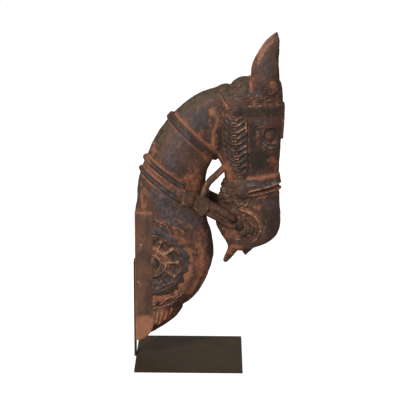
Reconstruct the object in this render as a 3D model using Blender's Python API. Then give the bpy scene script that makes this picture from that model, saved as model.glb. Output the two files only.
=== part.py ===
"""A carved wooden horse head and neck in harness, screwed to a steel stand.

The horse looks along +X and +Z is up. The carving is the same on both sides of the XZ plane, apart
from one strut and two nails on the side that faces -Y. The origin is the centre of the underside of
the base plate. Sizes are in metres. Outlines are drawn in millimetres, as (u, w), at the height that
the carving was measured at: u runs forward from its flat back, and w up from its foot.
"""

import math

import bmesh
import bpy
from mathutils import Vector
from mathutils.bvhtree import BVHTree

# Stand
BASE_LENGTH = 0.285
BASE_DEPTH = 0.250
BASE_THICKNESS = 0.006
BASE_EDGE_BEVEL = 0.0008
UPRIGHT_THICKNESS = 0.005
UPRIGHT_WIDTH = 0.032
UPRIGHT_HEIGHT = 0.270
UPRIGHT_CORNER = 0.005
FIT_GAP = 0.0003

# Carving
CARVING_HEIGHT = 0.817
FOOT_CLEARANCE = 0.053
DRAWN_HEIGHT = 817.0

# Fasteners
SCREW_SHANK_RADIUS = 0.0022
SCREW_BITE = 0.019
SCREW_HEAD_RADIUS = 0.0048
SCREW_SLOT_WIDTH = 0.0012
SCREW_SLOT_DEPTH = 0.0010
SCREW_NAMES = ("screw_bottom", "screw_middle", "screw_top")
SCREW_END_MARGIN = 0.025
NAIL_HEAD_RADIUS = 0.0023
NAIL_HEAD_HEIGHT = 0.0010
NAIL_SHANK_RADIUS = 0.0010
NAIL_SHANK_LENGTH = 0.010
NAILS = (("nail_upper", 17, 268), ("nail_lower", 9, 164))

BACK_X = -BASE_LENGTH / 2 + FIT_GAP
FOOT_Z = BASE_THICKNESS + FOOT_CLEARANCE
MM = CARVING_HEIGHT / DRAWN_HEIGHT
SCREW_LENGTH = UPRIGHT_THICKNESS + SCREW_BITE
SCREW_CONE = SCREW_HEAD_RADIUS - SCREW_SHANK_RADIUS
SCREW_SIDES = 16
CUT_MARGIN = 0.020
NEAR, FAR = -1, 1

# Outline of the plain, uncarved part at the back, and its half depth
PLAIN = ((0, 0), (14, 2), (27, 9), (38, 20), (46, 37), (46, 357), (0, 357))
PLAIN_HALF_DEPTH = 47

# Neck, foot to poll: back (u, w), throat (u, w), half depth. The lower rows reach behind the flat
# back, which is cut off them.
NECK = (
    (-60, 0, 6, 0, 42),
    (-60, 16, 44, 15, 47),
    (-60, 35, 78, 35, 49),
    (-60, 58, 108, 58, 51),
    (-60, 76, 124, 80, 52),
    (-60, 90, 127, 92, 52),
    (-60, 108, 148, 108, 54),
    (-60, 136, 172, 136, 57),
    (-60, 174, 190, 174, 58),
    (-60, 212, 203, 212, 58),
    (-60, 245, 206, 245, 58),
    (-60, 290, 200, 288, 58),
    (-12, 335, 190, 320, 57),
    (3.5, 374, 186, 350, 56),
    (5, 405, 184, 378, 55),
    (9.5, 438, 183, 403, 54),
    (20, 473, 183, 426, 53),
    (35, 509, 185, 447, 52),
    (55, 552, 190, 466, 50),
    (80, 588, 197, 480, 48),
    (112, 623, 203, 490, 46),
    (153, 656, 208, 496, 44),
    (195, 675, 214, 500, 42),
    (240, 688, 226, 505, 38),
)

# Head, crown to lip: face (u, w), jaw (u, w), half depth
HEAD = (
    (360, 710, 306, 714, 14),
    (375, 692, 276, 700, 33),
    (380, 668, 242, 676, 41),
    (381, 640, 213, 640, 46),
    (382, 608, 204, 604, 48),
    (380, 575, 203, 566, 48),
    (378, 545, 205, 532, 47),
    (377, 515, 214, 498, 45),
    (375, 482, 226, 472, 41),
    (375, 450, 233, 445, 39),
    (376, 420, 231, 415, 38),
    (377, 390, 219, 385, 38),
    (379, 360, 210, 350, 39),
    (381, 335, 211, 318, 39),
    (379, 303, 222, 292, 38),
    (368, 281, 236, 270, 36),
    (346, 264, 246, 252, 32),
    (322, 256, 262, 244, 24),
    (300, 250, 277, 245, 12),
)

# Ear, root to tip: back u, front u, height w, half thickness
EAR = (
    (306, 364, 668, 14),
    (300, 369, 690, 18),
    (298, 370, 708, 18),
    (300, 370, 728, 17),
    (306, 370, 746, 16),
    (314, 369, 762, 14),
    (324, 369, 779, 12),
    (335, 368, 794, 9.5),
    (347, 368, 806, 7),
    (360, 365, 817, 2.5),
)
EAR_OFFSET = 28
EAR_SCOOP = ((375, 745), (17, 9.5, 50))

# Chin tuft and lower lip, root to tip: back (u, w), front (u, w), half depth
CHIN_TUFT = (
    (238, 276, 292, 266, 26),
    (243, 252, 277, 246, 19),
    (240, 236, 267, 238, 13),
    (233, 221, 255, 222, 9),
    (231, 213, 245, 211, 6),
    (234, 207.5, 240, 207, 2.5),
)
LOWER_LIP = (
    (274, 262, 322, 268, 24),
    (277, 245, 312, 249, 14),
    (283, 236, 301, 238, 8),
    (288, 228, 292, 228, 2.5),
)

# Tufts of the mane behind the ears: centre (u, w), half length, half height, half depth, tip in degrees
MANE_TUFTS = (
    (279, 684, 34, 23, 26, 12),
    (230, 668, 28, 19, 20, 22),
    (176, 651, 34, 14, 18, 26),
)

# Collars round the neck: crest (u, w), throat (u, w), distance between the rolls there, roll radius
UPPER_COLLAR = ((92, 605), (206, 502), 7, 6, 7.2)
BREAST_COLLAR = (((25, 496), (185, 386), 7.2, 114), ((13, 467), (186, 341), 6.8, 116))

# Tags that join the collars to the reins: corners (u, w), height
TAGS = (
    (((112, 417), (127, 425), (139, 386), (122, 378)), 8),
    (((128, 424), (157, 411), (149, 373), (126, 381)), 12),
    (((155, 414), (169, 405), (157, 366), (148, 370)), 10),
)

# The last tag lies over the reins' ends: corners (u, w), its inner and outer distance from the middle
REIN_TAG = (((165, 402), (194, 391), (190, 368), (175, 350), (157, 370)), 28, 64)

# Reins, tag to bit: (u, w, distance from the middle), and the roll's radius. The last one fills the
# groove between the two that show.
REINS = (
    (((178, 386, 48), (196, 377, 49), (224, 362, 48), (254, 343, 41)), 11.5),
    (((172, 366, 48), (184, 360, 49), (212, 344, 48), (242, 325, 42), (262, 318, 37)), 7.5),
    (((176, 374, 46), (196, 365, 46), (227, 347, 43), (252, 331, 38)), 6.0),
)
STRUT = (((176, 394, 50), (181, 414, 45), (191, 434, 36), (210, 452, 25), (231, 469, 14), (246, 482, 9)), 9)

# Bands round the head: jaw (u, w), face (u, w), half width, height
BANDS = (
    ((206, 628), (384, 627), 14, 4),
    ((233, 424), (376, 444), 11, 3.5),
)
NOSE_ROLLS = (((236, 399), (377, 431), 3.4), ((236, 391), (377, 415), 3.4))
CHEEK_BAND = (((259, 612), (259, 560), (263, 500), (272, 436)), 29, 3.5)
CHEEK_BEADS = ((253, 606), (257, 560), (262, 512), (269, 466), (275, 440))
LEAF_COUNT = 7
LEAF_RISE = 14
FACE_STRIP = (((383, 632), (382, 590), (380, 547)), 13, 3.5)
BAND_HEM = 2.5

# Lumps at the sides of the head: centre (u, w), half length, half height, how far they stand out
LUMPS = (
    (267, 625, 17, 13, 7),
    (282, 410, 19, 19, 9),
    (250, 632, 9, 8, 5),
)
TASSEL = ((249, 428, 16, 12), (242, 414, 19, 12), (240, 399, 20, 12), (247, 385, 17, 10))
TASSEL_OFFSET = 27

# Small ridges at the sides of the head: route, half width, height
HEAD_RIDGES = (
    (((259, 386), (270, 379), (282, 383)), 4, 4),
    (((257, 368), (281, 369), (296, 382)), 4, 4),
    (((306, 656), (326, 672), (352, 688)), 5, 5),
    (((328, 650), (348, 661), (372, 674)), 5, 5),
    (((286, 652), (300, 668), (306, 690)), 5, 5),
)

# Eye: ball centre (u, w), half length, half height, how far it stands out, and the lids' routes
EYE = (348, 559, 14, 15, 7)
LIDS = (
    ((313, 580), (324, 585), (342, 584), (358, 580), (370, 573)),
    ((313, 580), (320, 562), (332, 543), (347, 531), (368, 528)),
    ((331, 574), (335, 554), (345, 543), (364, 539)),
)
LID_RADIUS = 3.4

# Bit ring on the cheek: arcs (radius, first and last angle, roll radius) and bosses (u, w, radius, height)
BIT_CENTRE = (270, 317)
BIT_ARCS = ((20, -70, 110, 3.2), (38, -160, 110, 3.8), (52, -65, 88, 4.2))
BIT_BOSSES = ((271, 319, 13, 10), (297, 305, 7.5, 6), (284, 296, 7, 6))

# Medallion on the shoulder, half of it beside the plain part
MEDALLION = (46, 221)
BOSS_RADIUS = 24
FLOWER_RING = 41
CELL_COUNT = 11
CELL_TURN = 2
CELL_LENGTH = 32
SCALLOP_DEPTH = 7
FRINGE_COUNT = 24
FRINGE_GAP = 4
FRINGE_NECK = 8
FRINGE_TEETH = 13
FRINGE_HEIGHT = 3
RIM_GAP = 7
RIDGE = (2.0, 3.2)
CELL_NECK = FLOWER_RING + CELL_LENGTH
CELL_CROWN = CELL_NECK + SCALLOP_DEPTH
FRINGE_INNER = CELL_CROWN + FRINGE_GAP
FRINGE_VALLEY = FRINGE_INNER + FRINGE_NECK
FRINGE_TIP = FRINGE_VALLEY + FRINGE_TEETH
RIM_RADIUS = FRINGE_TIP + RIM_GAP
TOP_LEAF = (((46, 338), (61, 334), (80, 324), (98, 309), (113, 304)), 8, 4)

# Bracket below the medallion: its top bead and its leaf ribs
BRACKET_BEAD = ((46, 88), (68, 97), (88, 106), (105, 113), (122, 108))
BRACKET_RIBS = (
    ((60, 88), (58, 68), (53, 48)),
    ((76, 96), (74, 76), (70, 58)),
    ((92, 102), (92, 84), (88, 68)),
    ((108, 106), (109, 90), (104, 76)),
)

# Facets
KEPT_FACETS = 0.68
SECTION_COUNT = 18
BOXINESS = 2.4
CREST_TAPER = 0.34
FACE_TAPER = 0.24


def at(u, w, y=0.0):
    """The point of the frame for a drawn point."""
    return Vector((BACK_X + u * MM, y * MM, FOOT_Z + w * MM))


def clear_scene():
    for old in list(bpy.data.objects):
        bpy.data.objects.remove(old, do_unlink=True)


def material(name, colour, roughness, metallic=0.0):
    made = bpy.data.materials.new(name)
    made.use_nodes = True
    shader = made.node_tree.nodes["Principled BSDF"]
    shader.inputs["Base Color"].default_value = (*colour, 1.0)
    shader.inputs["Roughness"].default_value = roughness
    shader.inputs["Metallic"].default_value = metallic
    return made


def new_object(name, shape, finish=None):
    """An object from a bmesh, with its faces turned outward."""
    bmesh.ops.recalc_face_normals(shape, faces=shape.faces)
    mesh = bpy.data.meshes.new(name)
    shape.to_mesh(mesh)
    shape.free()
    made = bpy.data.objects.new(name, mesh)
    bpy.context.scene.collection.objects.link(made)
    if finish:
        mesh.materials.append(finish)
    return made


class Parts:
    """The overlapping solids that one body is fused from, or cut with."""

    def __init__(self, name):
        self.name = name
        self.collection = bpy.data.collections.new(name)
        bpy.context.scene.collection.children.link(self.collection)

    def add(self, draw, *details, **options):
        """One solid: draw fills an empty bmesh with it."""
        shape = bmesh.new()
        draw(shape, *details, **options)
        helper = new_object(f"{self.name}_{len(self.collection.objects):03d}", shape)
        bpy.context.scene.collection.objects.unlink(helper)
        self.collection.objects.link(helper)
        helper.hide_render = True
        helper.display_type = "WIRE"


def skin_rings(shape, rings, closed=False):
    """Quads from each ring of points to the next, with end caps unless the run closes on itself."""
    rings = [[shape.verts.new(point) for point in ring] for ring in rings]
    for first, second in zip(rings, rings[1:] + rings[:1] if closed else rings[1:]):
        for i in range(len(first)):
            j = (i + 1) % len(first)
            shape.faces.new((first[i], first[j], second[j], second[i]))
    if not closed:
        shape.faces.new(rings[0])
        shape.faces.new(rings[-1])


def smooth(route, steps):
    """A route with this many steps to each of its stretches, on a curve through its points."""
    ends = [route[0], *route, route[-1]]
    points = []
    for a, b, c, d in zip(ends, ends[1:], ends[2:], ends[3:]):
        for k in range(steps):
            t = k / steps
            weights = (
                (-t + 2 * t**2 - t**3) / 2,
                (2 - 5 * t**2 + 3 * t**3) / 2,
                (t + 4 * t**2 - 3 * t**3) / 2,
                (t**3 - t**2) / 2,
            )
            points.append(tuple(sum(m * v for m, v in zip(weights, values)) for values in zip(a, b, c, d)))
    return [*points, route[-1]]


def rounded(value):
    """A cosine or sine for a cross-section that is fuller than an ellipse."""
    return math.copysign(abs(value) ** (2 / BOXINESS), value)


def section(back, front, half_depth, taper, points):
    """A closed cross-section between two points. Its depth narrows towards the first one."""
    middle, reach = (back + front) / 2, (back - front) / 2
    ring = []
    for k in range(points):
        turn = 2 * math.pi * (k + 0.5) / points
        along, across = rounded(math.cos(turn)), rounded(math.sin(turn))
        narrow = 1 - taper * max(0.0, along) ** 2
        ring.append(middle + reach * along + Vector((0, half_depth * MM * across * narrow, 0)))
    return ring


def loft(shape, rows, taper, y_offset=0.0, points=SECTION_COUNT):
    """A body through rows of (back u, w, front u, w, half depth)."""
    rings = []
    for back_u, back_w, front_u, front_w, half_depth in rows:
        back, front = at(back_u, back_w, y_offset), at(front_u, front_w, y_offset)
        rings.append(section(back, front, half_depth, taper, points))
    skin_rings(shape, rings)


def sweep(shape, spine, outs, profile, side=None, closed=False):
    """A profile of (across, outward) pairs carried along a spine. Across is side, or square to the run."""
    rings = []
    for i, (point, out) in enumerate(zip(spine, outs)):
        before = spine[i - 1] if closed or i else point
        after = spine[(i + 1) % len(spine)] if closed or i + 1 < len(spine) else point
        across = side if side else (after - before).cross(out).normalized()
        rings.append([point + across * a + out * b for a, b in profile])
    skin_rings(shape, rings, closed)


def roll_profile(radius, sides=5):
    """A round roll's profile, a little proud of what it lies on."""
    lift = 0.15 * radius
    turns = (2 * math.pi * (k + 0.5) / sides for k in range(sides))
    return [(radius * math.cos(t) * MM, (radius * math.sin(t) + lift) * MM) for t in turns]


def ridge_profile(half_width, height, sink=3.0, slope=0.4):
    """A flat-topped ridge's profile, sunk into what it lies on. Slope is its top's share of its width."""
    top = half_width * slope
    drawn = ((-half_width, -sink), (half_width, -sink), (top, height), (-top, height))
    return [(a * MM, b * MM) for a, b in drawn]


def strap_profile(half_width, height, sink=5.0):
    """A flat strap's profile with worn edges, sunk into what it lies on."""
    hem = half_width - BAND_HEM
    drawn = (
        (-half_width, -sink),
        (half_width, -sink),
        (half_width, height * 0.5),
        (hem, height),
        (-hem, height),
        (-half_width, height * 0.5),
    )
    return [(a * MM, b * MM) for a, b in drawn]


def ellipsoid(shape, centre, radii, segments=10, rings=6, turn=0.0):
    """A round lump. Turn tips it in the XZ plane."""
    made = bmesh.ops.create_uvsphere(shape, u_segments=segments, v_segments=rings, radius=1.0)
    cos, sin = math.cos(turn), math.sin(turn)
    for vert in made["verts"]:
        x, y, z = (value * radius * MM for value, radius in zip(vert.co, radii))
        vert.co = centre + Vector((x * cos - z * sin, y, x * sin + z * cos))


def box(shape, low, high):
    """A plain block between two corners."""
    made = bmesh.ops.create_cube(shape, size=1.0)
    for vert in made["verts"]:
        vert.co = Vector([lo + (c + 0.5) * (hi - lo) for c, lo, hi in zip(vert.co, low, high)])


def slab(shape, outline, half_depth):
    """An outline of drawn points carried across the whole depth."""
    skin_rings(shape, [[at(u, w, y) for u, w in outline] for y in (-half_depth, half_depth)])


def turned(shape, base, axis, profile, sides=10):
    """A solid of revolution from (distance along the axis, radius) pairs."""
    across = axis.orthogonal().normalized()
    over = axis.cross(across)
    turns = [2 * math.pi * k / sides for k in range(sides)]
    rings = []
    for along, radius in profile:
        centre = base + axis * along
        rings.append([centre + (across * math.cos(t) + over * math.sin(t)) * radius for t in turns])
    skin_rings(shape, rings)


class Surface:
    """Finds points on a body by casting rays at it."""

    def __init__(self, rows, taper):
        shape = bmesh.new()
        loft(shape, rows, taper, points=48)
        self.tree = BVHTree.FromBMesh(shape)
        shape.free()

    def side(self, u, w, way):
        """The outermost point at a drawn place, on the side that faces -Y or +Y."""
        hit = self.tree.ray_cast(at(u, w, way * 500), Vector((0, -way, 0)))[0]
        return hit or at(u, w, way * 30)

    def draped(self, route, way, lift=0.0):
        return [self.side(u, w, way) + Vector((0, way * lift * MM, 0)) for u, w in route]

    def ring(self, back, front, count, offsets=(0.0, 0.0), reach=360.0):
        """Points round the body in the plane through two drawn points, with their outward directions.
        Reach under 360 leaves the throat side open. Offsets shift the ring at its back and its front."""
        run = (at(*front) - at(*back)).normalized()
        shift = Vector((-run.z, 0, run.x)) * MM
        middle = (at(*back) + at(*front)) / 2
        points, outs = [], []
        for k in range(count):
            share = k / count if reach == 360.0 else k / (count - 1)
            turn = math.radians((share - 0.5) * 2 * reach if reach < 360.0 else share * 360.0)
            out = -run * math.cos(turn) - Vector((0, 1, 0)) * math.sin(turn)
            forward = (1 - math.cos(turn)) / 2
            start = middle + shift * (offsets[0] * (1 - forward) + offsets[1] * forward)
            hit = self.tree.ray_cast(start, out)[0]
            points.append(hit or start + out * 0.04)
            outs.append(out)
        return points, outs


def across_ring(back, front):
    run = (at(*front) - at(*back)).normalized()
    return Vector((-run.z, 0, run.x))


def facing(way, count):
    return [Vector((0, way, 0))] * count


def lay(parts, surface, way, route, profile, lift=0.0, closed=False):
    """A profile swept along a route that lies on one side of the body."""
    parts.add(sweep, surface.draped(route, way, lift), facing(way, len(route)), profile, closed=closed)


def tag(shape, surface, corners, height, way):
    """A flat-topped plate on the side of the body."""
    middle = [sum(values) / len(corners) for values in zip(*corners)]
    rings = []
    for level, inset in ((-5.0, 1.0), (height * 0.6, 1.0), (height, 0.84)):
        ring = [[m + (c - m) * inset for m, c in zip(middle, corner)] for corner in corners]
        rings.append(surface.draped(ring, way, level))
    skin_rings(shape, rings)


def arc(centre, radius, first, last, count):
    """Drawn points on an arc, its angles in degrees from straight forward, anticlockwise."""
    turns = [math.radians(first + (last - first) * k / (count - 1)) for k in range(count)]
    return [(centre[0] + radius * math.cos(t), centre[1] + radius * math.sin(t)) for t in turns]


def add_neck_harness(parts, neck):
    """The collars and, on each side, the tags that the reins come out of."""
    crest, throat, crest_gap, throat_gap, radius = UPPER_COLLAR
    for side in (-0.5, 0.5):
        points, outs = neck.ring(crest, throat, 18, (side * crest_gap, side * throat_gap))
        parts.add(sweep, points, outs, roll_profile(radius), side=across_ring(crest, throat), closed=True)
    for crest, throat, radius, reach in BREAST_COLLAR:
        points, outs = neck.ring(crest, throat, 15, reach=reach)
        parts.add(sweep, points, outs, roll_profile(radius), side=across_ring(crest, throat))
    for way in (NEAR, FAR):
        for corners, height in TAGS:
            parts.add(tag, neck, corners, height, way)


def rein_tag(shape, corners, inner, outer, way):
    """A flat plate at a set distance from the middle."""
    middle = [sum(values) / len(corners) for values in zip(*corners)]
    rings = []
    for depth, inset in ((inner, 1.0), (outer - 4, 1.0), (outer, 0.84)):
        ring = [[m + (c - m) * inset for m, c in zip(middle, corner)] for corner in corners]
        rings.append([at(u, w, way * depth) for u, w in ring])
    skin_rings(shape, rings)


def add_reins(parts):
    """Two rolls on each side from the neck to the bit ring, and the strut on the near side."""
    for way in (NEAR, FAR):
        corners, inner, outer = REIN_TAG
        parts.add(rein_tag, corners, inner, outer, way)
        for route, radius in REINS:
            spine = [at(u, w, way * y) for u, w, y in route]
            parts.add(sweep, spine, facing(way, len(spine)), roll_profile(radius, 8))
    route, radius = STRUT
    spine = [at(u, w, NEAR * y) for u, w, y in route]
    parts.add(sweep, spine, facing(NEAR, len(spine)), roll_profile(radius))


def add_bridle(parts, head):
    """Bands round the head, and at its sides the cheek band, bosses, tassels and leaves."""
    for back, front, half_width, height in BANDS:
        points, outs = head.ring(back, front, 16)
        profile = ridge_profile(half_width, height, slope=0.8)
        parts.add(sweep, points, outs, profile, side=across_ring(back, front), closed=True)
    for back, front, radius in NOSE_ROLLS:
        points, outs = head.ring(back, front, 16)
        points = [point + out * (2 * MM) for point, out in zip(points, outs)]
        profile = ridge_profile(radius, radius)
        parts.add(sweep, points, outs, profile, side=across_ring(back, front), closed=True)
    for way in (NEAR, FAR):
        route, half_width, height = CHEEK_BAND
        lay(parts, head, way, smooth(route, 2), strap_profile(half_width, height, sink=8))
        lay(parts, head, way, CHEEK_BEADS, roll_profile(4.2), lift=height)
        add_leaves(parts, head, way)
        for u, w, length, height, proud in LUMPS:
            parts.add(ellipsoid, head.side(u, w, way), (length, proud, height), 8, 5)
        for u, w, length, height in TASSEL:
            parts.add(ellipsoid, at(u, w, way * TASSEL_OFFSET), (length, 12, height), 8, 4)
        for route, half_width, height in HEAD_RIDGES:
            lay(parts, head, way, route, ridge_profile(half_width, height))
    route, half_width, height = FACE_STRIP
    spine = [at(u, w) for u, w in route]
    parts.add(sweep, spine, [Vector((1, 0, 0))] * len(spine), strap_profile(half_width, height, sink=12))


def add_leaves(parts, head, way):
    """Two rows of slanting ribs on the cheek band, on either side of its cord of beads."""
    route, half_width, height = CHEEK_BAND
    middle = smooth(route, LEAF_COUNT)
    for k in range(LEAF_COUNT):
        u, w = middle[round((k + 0.7) * (len(middle) - 1) / (LEAF_COUNT + 0.6))]
        for inner, outer in ((-8, -half_width + 3), (8, half_width - 3)):
            rib = ((u + outer, w + LEAF_RISE / 2), (u + inner, w - LEAF_RISE / 2))
            deck = [head.side(u, w, way) + at(*point) - at(u, w) for point in rib]
            lift = Vector((0, way * height * MM, 0))
            parts.add(sweep, [p + lift for p in deck], facing(way, 2), ridge_profile(3.2, 2.6))


def add_eyes(parts, head):
    u, w, length, height, proud = EYE
    for way in (NEAR, FAR):
        parts.add(ellipsoid, head.side(u, w, way), (length, proud, height), 8, 6)
        for lid in LIDS:
            lay(parts, head, way, lid, ridge_profile(LID_RADIUS, 3.2))


def add_bit(parts, head):
    """The bit ring's rolls and bosses, and the lip that curls round it."""
    for way in (NEAR, FAR):
        for radius, first, last, thickness in BIT_ARCS:
            count = 5 + round((last - first) * radius / 900)
            route = arc(BIT_CENTRE, radius, first, last, count)
            lay(parts, head, way, route, ridge_profile(thickness, thickness))
        for u, w, radius, proud in BIT_BOSSES:
            parts.add(ellipsoid, head.side(u, w, way), (radius, proud, radius), 8, 5)


def scallop(turn):
    """The outer radius of the flower's cells at an angle in degrees."""
    share = abs(math.sin(math.radians((turn - CELL_TURN) * CELL_COUNT / 2)))
    return CELL_NECK + (CELL_CROWN - CELL_NECK) * share


def fringe_band(shape, surface, way):
    """The flower's outermost ring of leaves, a flat band with a zigzag edge."""
    step = 180 / FRINGE_COUNT
    rings = []
    for k in range(-FRINGE_COUNT // 2 - 1, FRINGE_COUNT // 2 + 2):
        outer = FRINGE_TIP if k % 2 else FRINGE_VALLEY
        turn = math.radians(k * step)
        foot = ((FRINGE_INNER, -4.0), (outer, -4.0))
        top = ((outer - 1.5, FRINGE_HEIGHT), (FRINGE_INNER + 1, FRINGE_HEIGHT))
        ring = []
        for radius, level in (*foot, *top):
            u, w = MEDALLION[0] + radius * math.cos(turn), MEDALLION[1] + radius * math.sin(turn)
            ring.append(surface.side(u, w, way) + Vector((0, way * level * MM, 0)))
        rings.append(ring)
    skin_rings(shape, rings)


def add_medallion(parts, neck):
    """Boss, ring, cells, fringe and rim of the half flower on each shoulder."""
    step = 360 / CELL_COUNT
    third = step / 3
    scallops = []
    for k in range(-9, 10):
        turn = CELL_TURN + k * third
        radius = scallop(turn)
        angle = math.radians(turn)
        scallops.append((MEDALLION[0] + radius * math.cos(angle), MEDALLION[1] + radius * math.sin(angle)))
    for way in (NEAR, FAR):
        parts.add(ellipsoid, neck.side(*MEDALLION, way), (BOSS_RADIUS, 6, BOSS_RADIUS), 12, 4)
        lay(parts, neck, way, arc(MEDALLION, FLOWER_RING, -97, 97, 11), ridge_profile(*RIDGE))
        lay(parts, neck, way, scallops, ridge_profile(*RIDGE))
        for k in range(-2, 3):
            angle = math.radians(CELL_TURN + k * step)
            ends = (FLOWER_RING - 1, CELL_NECK + 1)
            spoke = [(MEDALLION[0] + r * math.cos(angle), MEDALLION[1] + r * math.sin(angle)) for r in ends]
            lay(parts, neck, way, spoke, ridge_profile(*RIDGE))
        parts.add(fringe_band, neck, way)
        lay(parts, neck, way, arc(MEDALLION, RIM_RADIUS, -94, 76, 13), ridge_profile(3, 3.5))
        route, half_width, height = TOP_LEAF
        lay(parts, neck, way, route, ridge_profile(half_width, height))


def add_bracket(parts, neck):
    for way in (NEAR, FAR):
        lay(parts, neck, way, BRACKET_BEAD, roll_profile(4, 5))
        for rib in BRACKET_RIBS:
            lay(parts, neck, way, rib, ridge_profile(5, 4))


def add_ears(parts):
    rows = [(back, w, front, w, depth) for back, front, w, depth in EAR]
    for way in (NEAR, FAR):
        parts.add(loft, rows, 0.0, way * EAR_OFFSET, 8)


def fused(parts, cutters, name, finish):
    """One solid: the first part with the others joined to it, and the cutters taken away."""
    body = parts.collection.objects[0]
    parts.collection.objects.unlink(body)
    bpy.context.scene.collection.objects.link(body)
    body.name = body.data.name = name
    body.hide_render = False
    body.display_type = "TEXTURED"
    body.data.materials.append(finish)
    boolean(body, "join", "UNION", parts)
    thin = body.modifiers.new("thin", "DECIMATE")
    thin.ratio = KEPT_FACETS
    boolean(body, "cut", "DIFFERENCE", cutters)
    return body


def boolean(body, step, operation, source):
    change = body.modifiers.new(step, "BOOLEAN")
    change.operation = operation
    change.operand_type = "COLLECTION"
    change.collection = source.collection
    change.solver = "EXACT"


def carving_cutters(sockets):
    """What is taken off: all behind the flat back and beside the plain part, ear scoops and sockets."""
    cutters = Parts("cutter")
    low, high = FOOT_Z - CUT_MARGIN, FOOT_Z + CARVING_HEIGHT
    cutters.add(box, (BACK_X - 0.12, -0.12, low), (BACK_X, 0.12, high))
    plain_u, plain_w = PLAIN[-2]
    for way in (NEAR, FAR):
        faces = sorted((way * PLAIN_HALF_DEPTH * MM, way * 0.12))
        corner = at(plain_u, plain_w)
        cutters.add(box, (BACK_X - CUT_MARGIN, faces[0], low), (corner.x, faces[1], corner.z))
        (u, w), radii = EAR_SCOOP
        cutters.add(ellipsoid, at(u, w, way * (EAR_OFFSET + 3)), radii, 10, 8)
    for socket in sockets:
        cutters.add(turned, *socket)
    return cutters


def make_carving(finish, sockets):
    neck = Surface(NECK, CREST_TAPER)
    head = Surface(HEAD, FACE_TAPER)
    parts = Parts("carving")
    parts.add(loft, NECK, CREST_TAPER)
    parts.add(loft, HEAD, FACE_TAPER)
    parts.add(slab, [(u - 5 * (u == 0), w) for u, w in PLAIN], PLAIN_HALF_DEPTH)
    add_ears(parts)
    for rows in (CHIN_TUFT, LOWER_LIP):
        parts.add(loft, rows, 0.0, 0.0, 10)
    for u, w, length, height, depth, tip in MANE_TUFTS:
        parts.add(ellipsoid, at(u, w), (length, depth, height), 10, 6, turn=math.radians(tip))
    add_neck_harness(parts, neck)
    add_reins(parts)
    add_bridle(parts, head)
    add_eyes(parts, head)
    add_bit(parts, head)
    add_medallion(parts, neck)
    add_bracket(parts, neck)
    return fused(parts, carving_cutters(sockets), "horse_head", finish)


def screw_profile():
    """Tip to flush countersunk head, with distance zero at the head's face."""
    return [
        (-SCREW_LENGTH, SCREW_SHANK_RADIUS * 0.25),
        (-SCREW_LENGTH + 2 * SCREW_SHANK_RADIUS, SCREW_SHANK_RADIUS),
        (-SCREW_CONE, SCREW_SHANK_RADIUS),
        (0, SCREW_HEAD_RADIUS),
    ]


def screw_hole_profile():
    return [
        (-SCREW_LENGTH - FIT_GAP, SCREW_SHANK_RADIUS + FIT_GAP),
        (-SCREW_CONE, SCREW_SHANK_RADIUS + FIT_GAP),
        (0, SCREW_HEAD_RADIUS + FIT_GAP),
        (CUT_MARGIN, SCREW_HEAD_RADIUS + FIT_GAP),
    ]


def nail_profile():
    """Tip to crown, with distance zero under the head."""
    return [
        (-NAIL_SHANK_LENGTH, NAIL_SHANK_RADIUS * 0.25),
        (-NAIL_SHANK_LENGTH + 2 * NAIL_SHANK_RADIUS, NAIL_SHANK_RADIUS),
        (0, NAIL_SHANK_RADIUS),
        (0, NAIL_HEAD_RADIUS),
        (NAIL_HEAD_HEIGHT * 0.4, NAIL_HEAD_RADIUS),
        (NAIL_HEAD_HEIGHT, NAIL_HEAD_RADIUS * 0.55),
    ]


def nail_hole_profile():
    radius = NAIL_SHANK_RADIUS + FIT_GAP
    return [(-NAIL_SHANK_LENGTH - FIT_GAP, radius), (CUT_MARGIN, radius)]


def screws():
    """(name, centre of the head's face, axis) of each screw, flush with the bar's outer face."""
    outside = -BASE_LENGTH / 2 - UPRIGHT_THICKNESS - FIT_GAP
    lowest, highest = FOOT_Z + SCREW_END_MARGIN, UPRIGHT_HEIGHT - SCREW_END_MARGIN
    made = []
    for k, name in enumerate(SCREW_NAMES):
        height = lowest + (highest - lowest) * k / (len(SCREW_NAMES) - 1)
        made.append((name, Vector((outside, 0, height)), Vector((-1, 0, 0))))
    return made


def nails():
    """(name, point under the head, axis) of each nail."""
    made = []
    for name, u, w in NAILS:
        base = at(u, w)
        base.y = NEAR * (PLAIN_HALF_DEPTH * MM + FIT_GAP)
        made.append((name, base, Vector((0, NEAR, 0))))
    return made


def make_base(finish):
    shape = bmesh.new()
    half_x, half_y = BASE_LENGTH / 2, BASE_DEPTH / 2
    box(shape, (-half_x, -half_y, 0), (half_x, half_y, BASE_THICKNESS))
    plate = new_object("base_plate", shape, finish)
    soften = plate.modifiers.new("edges", "BEVEL")
    soften.width = BASE_EDGE_BEVEL
    soften.segments = 2


def make_upright(finish):
    """The flat bar behind the carving, its bottom corners cut off, drilled for the screws."""
    outside = -BASE_LENGTH / 2 - UPRIGHT_THICKNESS - FIT_GAP
    half = UPRIGHT_WIDTH / 2
    outline = (
        (-half, UPRIGHT_CORNER),
        (-half + UPRIGHT_CORNER, 0),
        (half - UPRIGHT_CORNER, 0),
        (half, UPRIGHT_CORNER),
        (half, UPRIGHT_HEIGHT),
        (-half, UPRIGHT_HEIGHT),
    )
    shape = bmesh.new()
    skin_rings(shape, [[(x, y, z) for y, z in outline] for x in (outside, outside + UPRIGHT_THICKNESS)])
    bar = new_object("upright_bar", shape, finish)
    holes = Parts("hole")
    for _, base, axis in screws():
        holes.add(turned, base, axis, screw_hole_profile(), sides=SCREW_SIDES)
    boolean(bar, "holes", "DIFFERENCE", holes)


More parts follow.
